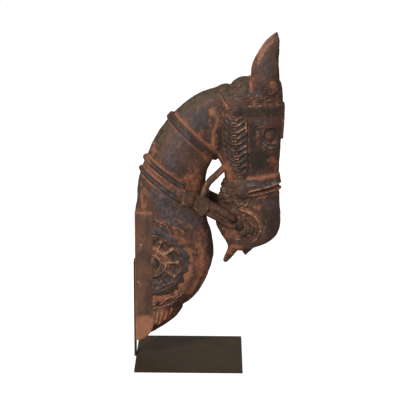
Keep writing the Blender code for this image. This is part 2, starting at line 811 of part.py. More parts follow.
def make_screws(finish):
    for name, base, axis in screws():
        shape = bmesh.new()
        turned(shape, base, axis, screw_profile(), sides=SCREW_SIDES)
        screw = new_object(name, shape, finish)
        slot = Parts(f"{name}_slot")
        reach = Vector((SCREW_SLOT_DEPTH, 2 * SCREW_HEAD_RADIUS, SCREW_SLOT_WIDTH / 2))
        slot.add(box, base - reach, base + reach)
        boolean(screw, "slot", "DIFFERENCE", slot)


def make_nails(finish):
    for name, base, axis in nails():
        shape = bmesh.new()
        turned(shape, base, axis, nail_profile())
        new_object(name, shape, finish)


def main():
    clear_scene()
    wood = material("painted_wood", (0.09, 0.055, 0.04), 0.7)
    steel = material("dark_steel", (0.045, 0.034, 0.022), 0.45, 0.6)
    screw_steel = material("screw_steel", (0.12, 0.11, 0.1), 0.4, 0.9)
    nail_steel = material("nail_steel", (0.45, 0.42, 0.38), 0.4, 0.8)
    sockets = [(base, axis, screw_hole_profile()) for _, base, axis in screws()]
    sockets += [(base, axis, nail_hole_profile()) for _, base, axis in nails()]
    make_carving(wood, sockets)
    make_base(steel)
    make_upright(steel)
    make_screws(screw_steel)
    make_nails(nail_steel)


main()
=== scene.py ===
"""Looks of the carved horse head on its stand: finer carving, worn paint, steel, camera and light.

Carving outlines are drawn in millimetres, as (u, w): u forward from the flat back, w up from the foot.
"""

import math

import bmesh
import bpy
import numpy as np
from mathutils import Matrix, Vector
from mathutils.bvhtree import BVHTree


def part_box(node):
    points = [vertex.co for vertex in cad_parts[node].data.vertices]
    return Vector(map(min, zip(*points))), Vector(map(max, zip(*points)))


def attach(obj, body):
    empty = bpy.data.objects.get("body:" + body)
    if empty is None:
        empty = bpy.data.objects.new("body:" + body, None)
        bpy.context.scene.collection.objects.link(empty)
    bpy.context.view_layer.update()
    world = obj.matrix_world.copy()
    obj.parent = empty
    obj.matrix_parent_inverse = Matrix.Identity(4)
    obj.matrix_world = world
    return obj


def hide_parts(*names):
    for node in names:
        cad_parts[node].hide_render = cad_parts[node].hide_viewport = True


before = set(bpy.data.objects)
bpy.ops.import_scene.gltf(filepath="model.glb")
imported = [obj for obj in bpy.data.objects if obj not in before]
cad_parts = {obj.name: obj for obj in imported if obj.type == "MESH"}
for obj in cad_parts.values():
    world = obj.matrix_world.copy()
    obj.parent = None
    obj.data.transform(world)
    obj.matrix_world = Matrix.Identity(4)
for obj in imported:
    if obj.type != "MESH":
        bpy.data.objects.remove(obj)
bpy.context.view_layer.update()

CARVING_LOW, CARVING_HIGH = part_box("horse_head")
DRAWN_HEIGHT = 817.0
MM = (CARVING_HIGH.z - CARVING_LOW.z) / DRAWN_HEIGHT
BACK_X = CARVING_LOW.x
FOOT_Z = CARVING_LOW.z
NEAR, FAR = -1, 1
PHOTO_WIDTH = 416
FOCAL_PIXELS = 1400

# Surface of the carving: fusing grid, most triangles, tool marks' and pits' depth, lines' wavering
VOXEL = 1.25
MOST_TRIANGLES = 194000
GOUGE_DEPTH = 2.0
PIT_DEPTH = 0.4
WAVINESS = 3

# Plain, uncarved part at the back, and its outline (u, w)
PLAIN_FRONT = 46
PLAIN_TOP = 357
PLAIN_HALF_DEPTH = 47
PLAIN = ((0, 0), (14, 2), (27, 9), (38, 20), (PLAIN_FRONT, 37), (PLAIN_FRONT, PLAIN_TOP), (0, PLAIN_TOP))

# How far cutters reach past what they cut
CLEAR = 120

# Neck, foot to poll: back (u, w), throat (u, w), half depth
NECK = (
    (-60, 0, 6, 0, 42),
    (-60, 16, 44, 15, 47),
    (-60, 35, 78, 35, 49),
    (-60, 58, 108, 58, 51),
    (-60, 76, 124, 80, 52),
    (-60, 90, 127, 92, 52),
    (-60, 108, 148, 108, 54),
    (-60, 136, 172, 136, 57),
    (-60, 174, 190, 174, 58),
    (-60, 212, 203, 212, 58),
    (-60, 245, 206, 245, 58),
    (-60, 290, 200, 288, 58),
    (-12, 335, 190, 320, 57),
    (3.5, 374, 186, 350, 56),
    (5, 405, 184, 378, 55),
    (9.5, 438, 183, 403, 54),
    (20, 473, 183, 426, 53),
    (35, 509, 185, 447, 52),
    (55, 552, 190, 466, 50),
    (80, 588, 197, 480, 48),
    (112, 623, 203, 490, 46),
    (153, 656, 208, 496, 44),
    (195, 675, 214, 500, 42),
    (240, 688, 226, 505, 38),
)

# Head, crown to lip: face (u, w), jaw (u, w), half depth
HEAD = (
    (360, 710, 306, 714, 14),
    (375, 692, 276, 700, 33),
    (380, 668, 242, 676, 41),
    (381, 640, 213, 640, 46),
    (382, 608, 204, 604, 48),
    (380, 575, 203, 566, 48),
    (378, 545, 205, 532, 47),
    (377, 515, 214, 498, 45),
    (375, 482, 226, 472, 41),
    (375, 450, 233, 445, 39),
    (376, 420, 231, 415, 38),
    (377, 390, 219, 385, 38),
    (379, 360, 210, 350, 39),
    (381, 335, 211, 318, 39),
    (379, 303, 222, 292, 38),
    (368, 281, 236, 270, 36),
    (346, 264, 246, 252, 32),
    (322, 256, 262, 244, 24),
    (300, 250, 277, 245, 12),
)
CREST_TAPER = 0.34
FACE_TAPER = 0.24
BOXINESS = 2.4
LUMP_SIDES = 28
LUMP_RINGS = 16

# Ear, root to tip: back u, front u, height w, half thickness
EAR = (
    (306, 364, 668, 14),
    (300, 369, 690, 18),
    (298, 370, 708, 18),
    (300, 370, 728, 17),
    (306, 370, 746, 16),
    (314, 369, 762, 14),
    (324, 369, 779, 12),
    (335, 368, 794, 9.5),
    (347, 368, 806, 7),
    (360, 365, 817, 2.5),
)

# The ears' distance from the middle, and each one's hollow: centre (u, w), radii
EAR_OFFSET = 28
EAR_SCOOP = ((375, 745), (17, 9.5, 50))

# Chin tuft and lower lip, root to tip: back (u, w), front (u, w), half depth
CHIN_TUFT = (
    (238, 276, 292, 266, 26),
    (243, 252, 277, 246, 19),
    (240, 236, 267, 238, 13),
    (233, 221, 255, 222, 9),
    (231, 213, 245, 211, 6),
    (234, 207.5, 240, 207, 2.5),
)
LOWER_LIP = (
    (274, 262, 322, 268, 24),
    (277, 245, 312, 249, 14),
    (283, 236, 301, 238, 8),
    (288, 228, 292, 228, 2.5),
)

# Tufts of the mane behind the ears: centre (u, w), half length, half height, half depth, tip in degrees
MANE_TUFTS = (
    (279, 684, 34, 23, 26, 12),
    (230, 668, 28, 19, 20, 22),
    (176, 651, 34, 14, 18, 26),
)

# Upper collar's two rolls: crest (u, w), throat (u, w), their distance at each, radius
UPPER_COLLAR = ((92, 605), (206, 502), 7, 6, 7.2)

# Breast collar's rolls: crest (u, w), throat (u, w), radius, degrees from the crest to either end
BREAST_COLLAR = (((25, 496), (185, 386), 7.2, 114), ((13, 467), (186, 341), 6.8, 116))

# Tags that join the collars to the reins: corners (u, w), height
TAGS = (
    (((112, 417), (127, 425), (139, 386), (122, 378)), 8),
    (((128, 424), (157, 411), (149, 373), (126, 381)), 12),
    (((155, 414), (169, 405), (157, 366), (148, 370)), 10),
)

# Tag at the reins' end: corners (u, w), its distances from the middle, inside and outside
REIN_TAG = (((165, 402), (194, 391), (190, 368), (175, 350), (157, 370)), 28, 64)

# Reins, tag to bit, and the strut across the throat: (u, w, distance from the middle), roll radius.
# The last rein fills the groove between the two that show.
REINS = (
    (((178, 386, 48), (196, 377, 49), (224, 362, 48), (254, 343, 41)), 11.5),
    (((172, 366, 48), (184, 360, 49), (212, 344, 48), (242, 325, 42), (262, 318, 37)), 7.5),
    (((176, 374, 46), (196, 365, 46), (227, 347, 43), (252, 331, 38)), 6.0),
)
STRUT = (((176, 394, 50), (181, 414, 45), (191, 434, 36), (210, 452, 25), (231, 469, 14), (246, 482, 9)), 9)

# A roll's middle is lifted by this share of its radius. A strap's edges are rounded over its hem.
ROLL_LIFT = 0.15
STRAP_HEM = 2.0

# Flat bands round the head: jaw (u, w), face (u, w), half width, height
BANDS = (
    ((206, 628), (384, 627), 14, 4),
    ((233, 424), (376, 444), 11, 3.5),
)

# Rolls under the noseband: jaw (u, w), face (u, w), radius
NOSE_ROLLS = (((236, 399), (377, 431), 3.4), ((236, 391), (377, 415), 3.4))

# Strip down the forehead: route (u, w), half width, height
FACE_STRIP = (((383, 632), (382, 590), (380, 547)), 13, 3.5)

# Lumps on both sides of the head: centre (u, w), half length, half height, how proud
LUMPS = (
    (267, 625, 17, 13, 7),
    (282, 410, 19, 19, 9),
    (250, 632, 9, 8, 5),
)

# Tassel's tiers under the jaw, on both sides: centre (u, w), half length, half height
TASSEL = ((249, 428, 16, 12), (242, 414, 19, 12), (240, 399, 20, 12), (247, 385, 17, 10))
TASSEL_OFFSET = 27

# Cheek band against height w: its left edge, its cord of beads and its right edge
BAND_HEIGHTS = (440, 447, 461, 475, 484, 500, 517, 533, 550, 566, 583, 607, 620)
BAND_LEFT = (268, 263, 256, 248, 243, 237, 234, 231, 230, 229, 229, 229, 229)
BAND_CORD = (276, 275, 271, 268, 266, 263, 261, 260, 259, 258, 257, 256, 256)
BAND_RIGHT = (282, 284, 290, 292, 292, 292, 292, 291, 290, 289, 288, 288, 288)
LEAF_PITCH = 16
BEAD_PITCH = 8

# Groove between the reins, and each collar's crest, throat and half width, as seen from the side
REIN_GROOVE = ((190, 371), (210, 357), (227, 348), (256, 329))
COLLAR_LINES = (
    (*UPPER_COLLAR[:2], 11),
    *((crest, throat, radius) for crest, throat, radius, _ in BREAST_COLLAR),
)

# Eye: ball centre (u, w), radius, height
EYE = (350, 559, 12, 5)

# Medallion on the shoulder: its centre (u, w), and the distances of its rings from there
MEDALLION = (PLAIN_FRONT, 221)
HUB = 21
HOOPS = (22.5, 36.5)
BEAD_CIRCLE = 29.5
BEAD_COUNT = 22
CELL_COUNT = 11
CELL_TURN = 2
CELL_REACH = 68
CELL_BULGE = 7
FRINGE_COUNT = 24
FRINGE_START = 79
FRINGE_VALLEY = 90
RIMS = (111.5, 117)

# Fine raised lines on both sides: route, half width, height, how light their worn tops are
LINES = (
    (((313, 581), (324, 585), (342, 584), (358, 580), (371, 574)), 2.6, 2.6, 0.5),
    (((314, 579), (322, 560), (333, 542), (346, 530), (364, 527)), 5.6, 3.0, 0.08),
    (((329, 572), (334, 552), (345, 541), (364, 537)), 3.0, 2.4, 0.2),
    (((268, 342), (281, 337), (287, 323), (287, 309), (278, 303)), 2.6, 2.6, 0.4),
    (((262, 353), (285, 348), (300, 332), (307, 314), (302, 296), (289, 285)), 3.6, 3.2, 0.3),
    (((270, 362), (296, 355), (313, 336), (317, 314), (311, 290)), 3.6, 3.2, 0.05),
    (((270, 364), (284, 362), (298, 357), (315, 343), (325, 327), (326, 319)), 5.6, 4.4, 1.0),
    (((327, 316), (327, 302), (320, 287), (303, 268)), 3.6, 3.2, 0.6),
    (((234, 312), (246, 296), (260, 283), (279, 280)), 2.6, 2.4, 0.5),
    (((246, 301), (256, 292), (268, 289)), 2.2, 2.0, 0.35),
    (((249, 386), (259, 388), (271, 378), (283, 383)), 3.2, 3.2, 0.9),
    (((257, 366), (270, 372), (283, 369), (297, 383)), 3.2, 3.2, 0.7),
    (((262, 395), (268, 384)), 2.6, 2.6, 0.7),
    (((286, 369), (296, 389), (302, 396)), 3.0, 2.8, 0.6),
    (((284, 642), (320, 642), (350, 643), (378, 645)), 2.0, 2.2, 0.5),
    (((284, 651), (300, 651), (326, 650), (352, 655), (378, 664)), 2.2, 1.6, 0.3),
    (((352, 657), (364, 664), (377, 668)), 2.2, 1.8, 0.6),
    (((338, 664), (352, 671), (362, 680), (366, 690)), 2.4, 1.8, 0.4),
    (((322, 655), (336, 661), (346, 672), (344, 684), (334, 684), (332, 675), (338, 671)), 2.2, 1.8, 0.3),
    (((298, 655), (312, 664), (322, 678), (324, 692)), 2.4, 1.8, 0.25),
    (((288, 660), (298, 672), (302, 690)), 2.4, 2.2, 0.4),
    (((280, 664), (288, 680), (290, 700)), 2.4, 2.0, 0.3),
    (((270, 648), (281, 655), (286, 668)), 2.2, 2.0, 0.6),
    (((205, 640), (228, 637), (216, 618), (226, 604)), 3.0, 0.8, 0.25),
    (((200, 652), (216, 646), (228, 640)), 3.0, 0.8, 0.25),
    (((220, 668), (228, 650), (246, 629)), 4.5, 2.2, 0.4),
    (((240, 668), (262, 664), (284, 668)), 3.0, 0.8, 0.35),
    (((280, 640), (281, 626), (281, 613)), 1.8, 1.2, 0.6),
    (((304, 397), (314, 391), (324, 396), (334, 391), (345, 397), (355, 393), (370, 402)), 1.8, 1.8, 0.35),
    (((46, 339), (61, 335), (80, 325), (98, 310), (113, 305), (123, 299)), 5.5, 3.6, 0.1),
    (((50, 330), (61, 325), (76, 316), (88, 304)), 4.5, 3.0, 0.0),
    (((56, 336), (73, 329), (90, 318), (102, 308)), 1.4, 1.2, 0.6),
    (((48, 345), (58, 344), (66, 347)), 3.0, 2.0, 0.7),
    (((47, 131), (60, 108), (69, 106), (85, 122), (103, 128), (114, 138)), 2.4, 2.0, 0.3),
    (((46, 89), (56, 96), (68, 94), (78, 101), (90, 103), (104, 113), (116, 116)), 2.6, 3.0, 0.9),
    (((46, 100), (57, 108), (66, 104)), 2.2, 2.4, 0.8),
    (((84, 128), (95, 137), (108, 139), (120, 146)), 2.0, 1.8, 0.5),
    (((116, 112), (124, 104), (122, 92), (112, 88), (104, 96), (108, 106)), 2.4, 2.2, 0.4),
    (((50, 84), (51, 62), (48, 38)), 2.6, 2.6, 0.7),
    (((60, 88), (60, 68), (54, 46)), 3.2, 3.0, 0.45),
    (((72, 92), (72, 76), (67, 56), (60, 44)), 3.2, 3.0, 0.7),
    (((86, 98), (86, 84), (81, 68), (74, 56)), 3.2, 3.0, 0.3),
    (((98, 104), (98, 92), (93, 78), (86, 66)), 3.0, 2.8, 0.5),
    (((222, 432), (236, 436), (250, 432)), 1.6, 1.5, 0.3),
    (((220, 417), (236, 419), (254, 414)), 1.6, 1.5, 0.6),
    (((219, 410), (236, 411), (255, 406)), 1.6, 1.5, 0.4),
    (((225, 401), (240, 402), (256, 397)), 1.6, 1.5, 0.6),
    (((228, 391), (240, 392), (253, 388)), 1.6, 1.5, 0.3),
)

# Low round bosses on both sides: centre (u, w), radius, height
BOSSES = (
    (271, 319, 13, 6.5),
    (284, 296, 7.5, 5),
    (298, 305, 7.5, 5),
    (272, 403, 6, 2),
    (57, 345, 3.5, 1.5),
)


def at(u, w, y=0.0):
    """The point of the frame for a drawn point."""
    return Vector((BACK_X + u * MM, y * MM, FOOT_Z + w * MM))


def smooth(route, steps):
    """A route with this many steps to each of its stretches, on a curve through its points."""
    ends = [route[0], *route, route[-1]]
    points = []
    for a, b, c, d in zip(ends, ends[1:], ends[2:], ends[3:]):
        for k in range(steps):
            t = k / steps
            weights = (
                (-t + 2 * t**2 - t**3) / 2,
                (2 - 5 * t**2 + 3 * t**3) / 2,
                (t + 4 * t**2 - 3 * t**3) / 2,
                (t**3 - t**2) / 2,
            )
            points.append(tuple(sum(m * v for m, v in zip(weights, values)) for values in zip(a, b, c, d)))
    return [*points, route[-1]]


def rounded(value):
    """A cosine or sine for a cross-section that is fuller than an ellipse."""
    return math.copysign(abs(value) ** (2 / BOXINESS), value)


def section(back, front, half_depth, taper, points):
    """A closed cross-section between two points. Its depth narrows towards the first one."""
    middle, reach = (back + front) / 2, (back - front) / 2
    ring = []
    for k in range(points):
        turn = 2 * math.pi * (k + 0.5) / points
        along, across = rounded(math.cos(turn)), rounded(math.sin(turn))
        narrow = 1 - taper * max(0.0, along) ** 2
        ring.append(middle + reach * along + Vector((0, half_depth * MM * across * narrow, 0)))
    return ring


class Solids:
    """Overlapping closed shapes, kept as one list of points and one of faces."""

    def __init__(self):
        self.points = []
        self.faces = []

    def skin(self, rings, closed=False):
        """Quads from each ring of points to the next, with end caps unless the run closes on itself."""
        start, count = len(self.points), len(rings[0])
        for ring in rings:
            self.points.extend(tuple(point) for point in ring)
        for i in range(len(rings) if closed else len(rings) - 1):
            low, high = start + i * count, start + (i + 1) % len(rings) * count
            for k in range(count):
                j = (k + 1) % count
                self.faces.append((low + k, low + j, high + j, high + k))
        if not closed:
            last = start + (len(rings) - 1) * count
            self.faces.append(tuple(range(start + count - 1, start - 1, -1)))
            self.faces.append(tuple(range(last, last + count)))

    def loft(self, rows, taper, y_offset=0.0, points=64, steps=4):
        """A body through rows of (back u, w, front u, w, half depth)."""
        rings = []
        for back_u, back_w, front_u, front_w, half_depth in smooth(rows, steps):
            ends = at(back_u, back_w, y_offset), at(front_u, front_w, y_offset)
            rings.append(section(*ends, half_depth, taper, points))
        self.skin(rings)

    def sweep(self, spine, outs, profile, side=None, closed=False):
        """A profile of (across, outward) pairs along a spine. Across is side, or square to the run."""
        rings = []
        for i, (point, out) in enumerate(zip(spine, outs)):
            before = spine[i - 1] if closed or i else point
            after = spine[(i + 1) % len(spine)] if closed or i + 1 < len(spine) else point
            across = side if side else (after - before).cross(out).normalized()
            rings.append([point + across * a + out * b for a, b in profile])
        self.skin(rings, closed)

    def ellipsoid(self, centre, radii, turn=0.0):
        """A round lump. Turn tips it in the XZ plane."""
        cos, sin = math.cos(turn), math.sin(turn)
        made = []
        for i in range(LUMP_RINGS + 1):
            lean = math.pi * (0.01 + 0.98 * i / LUMP_RINGS)
            ring = []
            for k in range(LUMP_SIDES):
                spin = 2 * math.pi * k / LUMP_SIDES
                x = math.sin(lean) * math.cos(spin) * radii[0] * MM
                y = math.sin(lean) * math.sin(spin) * radii[1] * MM
                z = math.cos(lean) * radii[2] * MM
                ring.append(centre + Vector((x * cos - z * sin, y, x * sin + z * cos)))
            made.append(ring)
        self.skin(made)

    def mesh(self, name):
        made = bpy.data.meshes.new(name)
        made.from_pydata(self.points, [], self.faces)
        made.update()
        return made


class Surface:
    """Finds points on a body by casting rays at it."""

    def __init__(self, rows, taper):
        body = Solids()
        body.loft(rows, taper)
        self.tree = BVHTree.FromPolygons(body.points, body.faces)

    def side(self, u, w, way):
        """The outermost point at a drawn place, on the side that faces -Y or +Y."""
        hit = self.tree.ray_cast(at(u, w, way * 500), Vector((0, -way, 0)))[0]
        return hit or at(u, w, way * 30)

    def draped(self, route, way, lift):
        return [self.side(u, w, way) + Vector((0, way * lift * MM, 0)) for u, w in route]

    def ring(self, back, front, count, offsets=(0.0, 0.0), reach=None):
        """Points round the body in the plane through two drawn points, with their outward directions.
        They go all the way round, or this many degrees to either side of the back."""
        run = (at(*front) - at(*back)).normalized()
        middle = (at(*back) + at(*front)) / 2
        points, outs = [], []
        turns = np.linspace(-reach, reach, count) if reach else np.arange(count) * 360 / count
        for turn in np.radians(turns):
            out = -run * math.cos(turn) - Vector((0, 1, 0)) * math.sin(turn)
            forward = (1 - math.cos(turn)) / 2
            shift = offsets[0] * (1 - forward) + offsets[1] * forward
            start = middle + across_ring(back, front) * MM * shift
            hit = self.tree.ray_cast(start, out)[0]
            points.append(hit or start + out * 0.04)
            outs.append(out)
        return points, outs


def across_ring(back, front):
    """The direction square to the line between two drawn points."""
    run = (at(*front) - at(*back)).normalized()
    return Vector((-run.z, 0, run.x))


def roll_profile(radius, sides=14):
    """A round roll's profile, lifted a little off what it lies on."""
    turns = (2 * math.pi * (k + 0.5) / sides for k in range(sides))
    return [(radius * math.cos(t) * MM, radius * (math.sin(t) + ROLL_LIFT) * MM) for t in turns]


def strap_profile(half_width, height, sink=5.0):
    """A flat strap's profile with rounded edges, sunk into what it lies on."""
    right = (
        (half_width, -sink),
        (half_width, height * 0.5),
        (half_width - STRAP_HEM * 0.7, height * 0.9),
        (half_width - STRAP_HEM * 2, height),
    )
    left = [(-a, b) for a, b in reversed(right)]
    return [(a * MM, b * MM) for a, b in (left[-1], *right, *left[:-1])]


def new_object(name, data):
    made = bpy.data.objects.new(name, data)
    bpy.context.scene.collection.objects.link(made)
    return made


def evaluated_mesh(obj):
    """A mesh of obj with its modifiers applied. The object is then removed."""
    graph = bpy.context.evaluated_depsgraph_get()
    made = bpy.data.meshes.new_from_object(obj.evaluated_get(graph))
    bpy.data.objects.remove(obj)
    return made


def cut_away(body, cutters):
    """A mesh of body with each of the cutters cut out of it."""
    objects = []
    for solids in (body, *cutters):
        each = new_object("cut", solids.mesh("cut"))
        shape = bmesh.new()
        shape.from_mesh(each.data)
        bmesh.ops.recalc_face_normals(shape, faces=shape.faces)
        shape.to_mesh(each.data)
        shape.free()
        objects.append(each)
    for cutter in objects[1:]:
        cut = objects[0].modifiers.new("cut", "BOOLEAN")
        cut.operation = "DIFFERENCE"
        cut.object = cutter
    mesh = evaluated_mesh(objects[0])
    for cutter in objects[1:]:
        bpy.data.objects.remove(cutter)
    return mesh


def trimmed_neck():
    """The neck with the plain part's two sides cut flat."""
    neck = Solids()
    neck.loft(NECK, CREST_TAPER)
    corners = (
        ((-CLEAR, -CLEAR), (0, CLEAR), DRAWN_HEIGHT),
        ((-CLEAR, -CLEAR), (PLAIN_FRONT, -PLAIN_HALF_DEPTH), PLAIN_TOP),
        ((-CLEAR, PLAIN_HALF_DEPTH), (PLAIN_FRONT, CLEAR), PLAIN_TOP),
    )
    blocks = []
    for (u0, y0), (u1, y1), top in corners:
        block = Solids()
        base = ((u0, y0), (u1, y0), (u1, y1), (u0, y1))
        block.skin([[at(u, w, y) for u, y in base] for w in (-20, top)])
        blocks.append(block)
    return cut_away(neck, blocks)


def drawn_in(corners, share):
    """An outline drawn in towards its middle."""
    middle = [sum(values) / len(corners) for values in zip(*corners)]
    return [[m + (c - m) * share for m, c in zip(middle, corner)] for corner in corners]


def add_harness(solids, neck, head):
    """Collars, tags, reins, strut, and the bands that go right round the head."""
    crest, throat, crest_gap, throat_gap, radius = UPPER_COLLAR
    for side in (-0.5, 0.5):
        points, outs = neck.ring(crest, throat, 72, (side * crest_gap, side * throat_gap))
        solids.sweep(points, outs, roll_profile(radius), across_ring(crest, throat), True)
    for crest, throat, radius, reach in BREAST_COLLAR:
        points, outs = neck.ring(crest, throat, 60, reach=reach)
        solids.sweep(points, outs, roll_profile(radius), across_ring(crest, throat))
    for back, front, half_width, height in BANDS:
        points, outs = head.ring(back, front, 72)
        solids.sweep(points, outs, strap_profile(half_width, height), across_ring(back, front), True)
    for back, front, radius in NOSE_ROLLS:
        points, outs = head.ring(back, front, 72)
        points = [point + out * (2 * MM) for point, out in zip(points, outs)]
        solids.sweep(points, outs, roll_profile(radius), across_ring(back, front), True)
    for way in (NEAR, FAR):
        out = Vector((0, way, 0))
        for corners, height in TAGS:
            levels = ((-5.0, 1.0), (height * 0.75, 1.0), (height * 0.95, 0.96), (height, 0.88))
            solids.skin([neck.draped(drawn_in(corners, share), way, level) for level, share in levels])
        corners, inner, outer = REIN_TAG
        levels = ((inner, 1.0), (outer - 3, 1.0), (outer - 1, 0.95), (outer, 0.86))
        solids.skin([[at(u, w, way * y) for u, w in drawn_in(corners, share)] for y, share in levels])
        for route, radius in REINS:
            spine = [at(u, w, way * y) for u, w, y in smooth(route, 6)]
            solids.sweep(spine, [out] * len(spine), roll_profile(radius, 20))
        route, radius = REINS[0]
        end_u, end_w, end_y = route[-1]
        solids.ellipsoid(at(end_u, end_w, way * end_y), (radius, radius, radius))
    route, radius = STRUT
    spine = [at(u, w, NEAR * y) for u, w, y in smooth(route, 6)]
    solids.sweep(spine, [Vector((0, NEAR, 0))] * len(spine), roll_profile(radius))


def add_head_forms(solids, head):
    """Lumps and tassels on both sides, and the strip down the forehead."""
    for way in (NEAR, FAR):
        for u, w, length, height, proud in LUMPS:
            solids.ellipsoid(head.side(u, w, way), (length, proud, height))
        for u, w, length, height in TASSEL:
            solids.ellipsoid(at(u, w, way * TASSEL_OFFSET), (length, 12, height))
    route, half_width, height = FACE_STRIP
    spine = [at(u, w) for u, w in smooth(route, 4)]
    solids.sweep(spine, [Vector((1, 0, 0))] * len(spine), strap_profile(half_width, height, sink=12))


def scooped_ears():
    """Both ears, hollowed at their fronts."""
    pieces = []
    for way in (NEAR, FAR):
        ear = Solids()
        ear.loft([(back, w, front, w, depth) for back, front, w, depth in EAR], 0.0, way * EAR_OFFSET, 36)
        (u, w), radii = EAR_SCOOP
        scoop = Solids()
        scoop.ellipsoid(at(u, w, way * (EAR_OFFSET + 3)), radii)
        pieces.append(cut_away(ear, [scoop]))
    return pieces


def rough_carving():
    """The carving's main forms, fused into one skin of small faces."""
    neck = Surface(NECK, CREST_TAPER)
    head = Surface(HEAD, FACE_TAPER)
    solids = Solids()
    solids.loft(HEAD, FACE_TAPER)
    solids.skin([[at(u, w, y) for u, w in PLAIN] for y in (-PLAIN_HALF_DEPTH, PLAIN_HALF_DEPTH)])
    for rows in (CHIN_TUFT, LOWER_LIP):
        solids.loft(rows, 0.0, 0.0, 24)
    for u, w, length, height, depth, tip in MANE_TUFTS:
        solids.ellipsoid(at(u, w), (length, depth, height), turn=math.radians(tip))
    add_harness(solids, neck, head)
    add_head_forms(solids, head)
    shape = bmesh.new()
    shape.from_mesh(solids.mesh("forms"))
    for mesh in [trimmed_neck(), *scooped_ears()]:
        shape.from_mesh(mesh)
    whole = bpy.data.meshes.new("whole")
    shape.to_mesh(whole)
    shape.free()
    carving = new_object("whole", whole)
    fuse = carving.modifiers.new("fuse", "REMESH")
    fuse.mode = "VOXEL"
    fuse.voxel_size = VOXEL * MM
    return evaluated_mesh(carving)


def noise(points, size, seed):
    """Smooth noise from 0 to 1 at points, in the points' own unit, with blobs about this size."""
    scaled = points / size + seed * 17.17
    cell = np.floor(scaled).astype(np.int64)
    part = scaled - cell
    part = part * part * (3 - 2 * part)
    total = np.zeros(len(points))
    for corner in range(8):
        step = np.array([corner & 1, corner >> 1 & 1, corner >> 2 & 1])
        spot = cell + step
        mixed = spot[:, 0] * 73856093 ^ spot[:, 1] * 19349663 ^ spot[:, 2] * 83492791 ^ seed * 2654435
        mixed = (mixed ^ mixed >> 13) * 1274126177 & 0x7FFFFFFF
        value = (mixed ^ mixed >> 11) % 65536 / 65535
        share = np.where(step, part, 1 - part).prod(1)
        total += share * value
    return total


def layered(points, size, seed, layers=3):
    """Noise with finer layers added, still about 0 to 1."""
    total, weight = np.zeros(len(points)), 0.0
    for k in range(layers):
        total += noise(points, size / 2**k, seed + k) * 0.5**k
        weight += 0.5**k
    return total / weight


def ramp(value, low, high):
    """0 below low, 1 above high, smooth between. High may be the lower one."""
    t = np.clip((value - low) / (high - low), 0, 1)
    return t * t * (3 - 2 * t)


def hump(gap, width):
    """The height of a round ridge, from 0 to 1, at a distance from its middle."""
    return np.clip(1 - (gap / width) ** 2, 0, 1)


def line_distance(u, w, route, reach):
    """Each point's distance from a route, and how far along the route it is. Far points get reach."""
    line = np.array(smooth(route, 5))
    low, high = line.min(0) - reach, line.max(0) + reach
    close = np.flatnonzero((u > low[0]) & (u < high[0]) & (w > low[1]) & (w < high[1]))
    best = np.full(len(u), reach)
    along = np.zeros(len(u))
    pu, pw = u[close], w[close]
    found, place = best[close], along[close]
    run = 0.0
    for (au, aw), (bu, bw) in zip(line, line[1:]):
        length = math.hypot(bu - au, bw - aw) or 1e-6
        t = np.clip(((pu - au) * (bu - au) + (pw - aw) * (bw - aw)) / length**2, 0, 1)
        gap = np.hypot(pu - au - t * (bu - au), pw - aw - t * (bw - aw))
        nearer = gap < found
        found = np.where(nearer, gap, found)
        place = np.where(nearer, run + t * length, place)
        run += length
    best[close], along[close] = found, place
    return best, along


class Marks:
    """What is known of each point of the carving: how far it is raised, its paint, wear, painted shade and
    painted highlight from 0 to 1, and how calm it is kept, which holds back the wear that follows its edges
    and hollows."""

    NAMES = ("tan", "red", "dark", "blue", "olive", "bare")

    def __init__(self, count):
        self.height = np.zeros(count)
        self.calm = np.zeros(count)
        for name in self.NAMES:
            setattr(self, name, np.zeros(count))

    def add(self, name, amount):
        setattr(self, name, np.maximum(getattr(self, name), amount))

    def add_all(self, where, layers):
        """Adds each of some pairs of a mark and its amount, no stronger than where allows."""
        for name, amount in layers:
            self.add(name, where * amount)


def carve_lines(marks, u, w, side):
    """Fine raised lines, low bosses and the groove between the reins."""
    for route, half_width, height, light in LINES:
        gap, along = line_distance(u, w, route, half_width * 3)
        length = sum(math.dist(start, end) for start, end in zip(route, route[1:]))
        taper = np.sqrt(ramp(along, -1, 9) * ramp(along, length + 1, length - 9))
        top = hump(gap, half_width * (0.45 + 0.55 * taper)) * taper
        foot = ramp(gap, half_width * 2.4, half_width * 1.2) * (gap > half_width) * taper
        marks.height += side * (height * top - 0.6 * foot)
        marks.add_all(side, (("tan", light * ramp(top, 0.45, 0.95)), ("red", 0.35 * foot)))
    for centre_u, centre_w, radius, height in BOSSES:
        gap = np.hypot(u - centre_u, w - centre_w) / radius
        marks.height += side * (height * np.sqrt(hump(gap, 1)))
        around = 0.6 * ramp(gap, 1.4, 1.1) * (gap > 1)
        marks.add_all(side, (("dark", (gap < 1) * 0.8), ("calm", gap < 1.1), ("red", around)))
    gap, along = line_distance(u, w, REIN_GROOVE, 8.0)
    marks.add("bare", side * ramp(gap, 2.6, 0.8) * ramp(along, 64, 30) * 0.9)
    marks.add("dark", side * ramp(gap, 6.0, 3.0) * (gap > 2.4))


def collar_gap(u, w, crest, throat):
    """How far each point is above the line between two drawn points, and how far along it, in mm."""
    run_u, run_w = throat[0] - crest[0], throat[1] - crest[1]
    length = math.hypot(run_u, run_w)
    du, dw = u - crest[0], w - crest[1]
    return (du * -run_w + dw * run_u) / length, (du * run_u + dw * run_w) / length


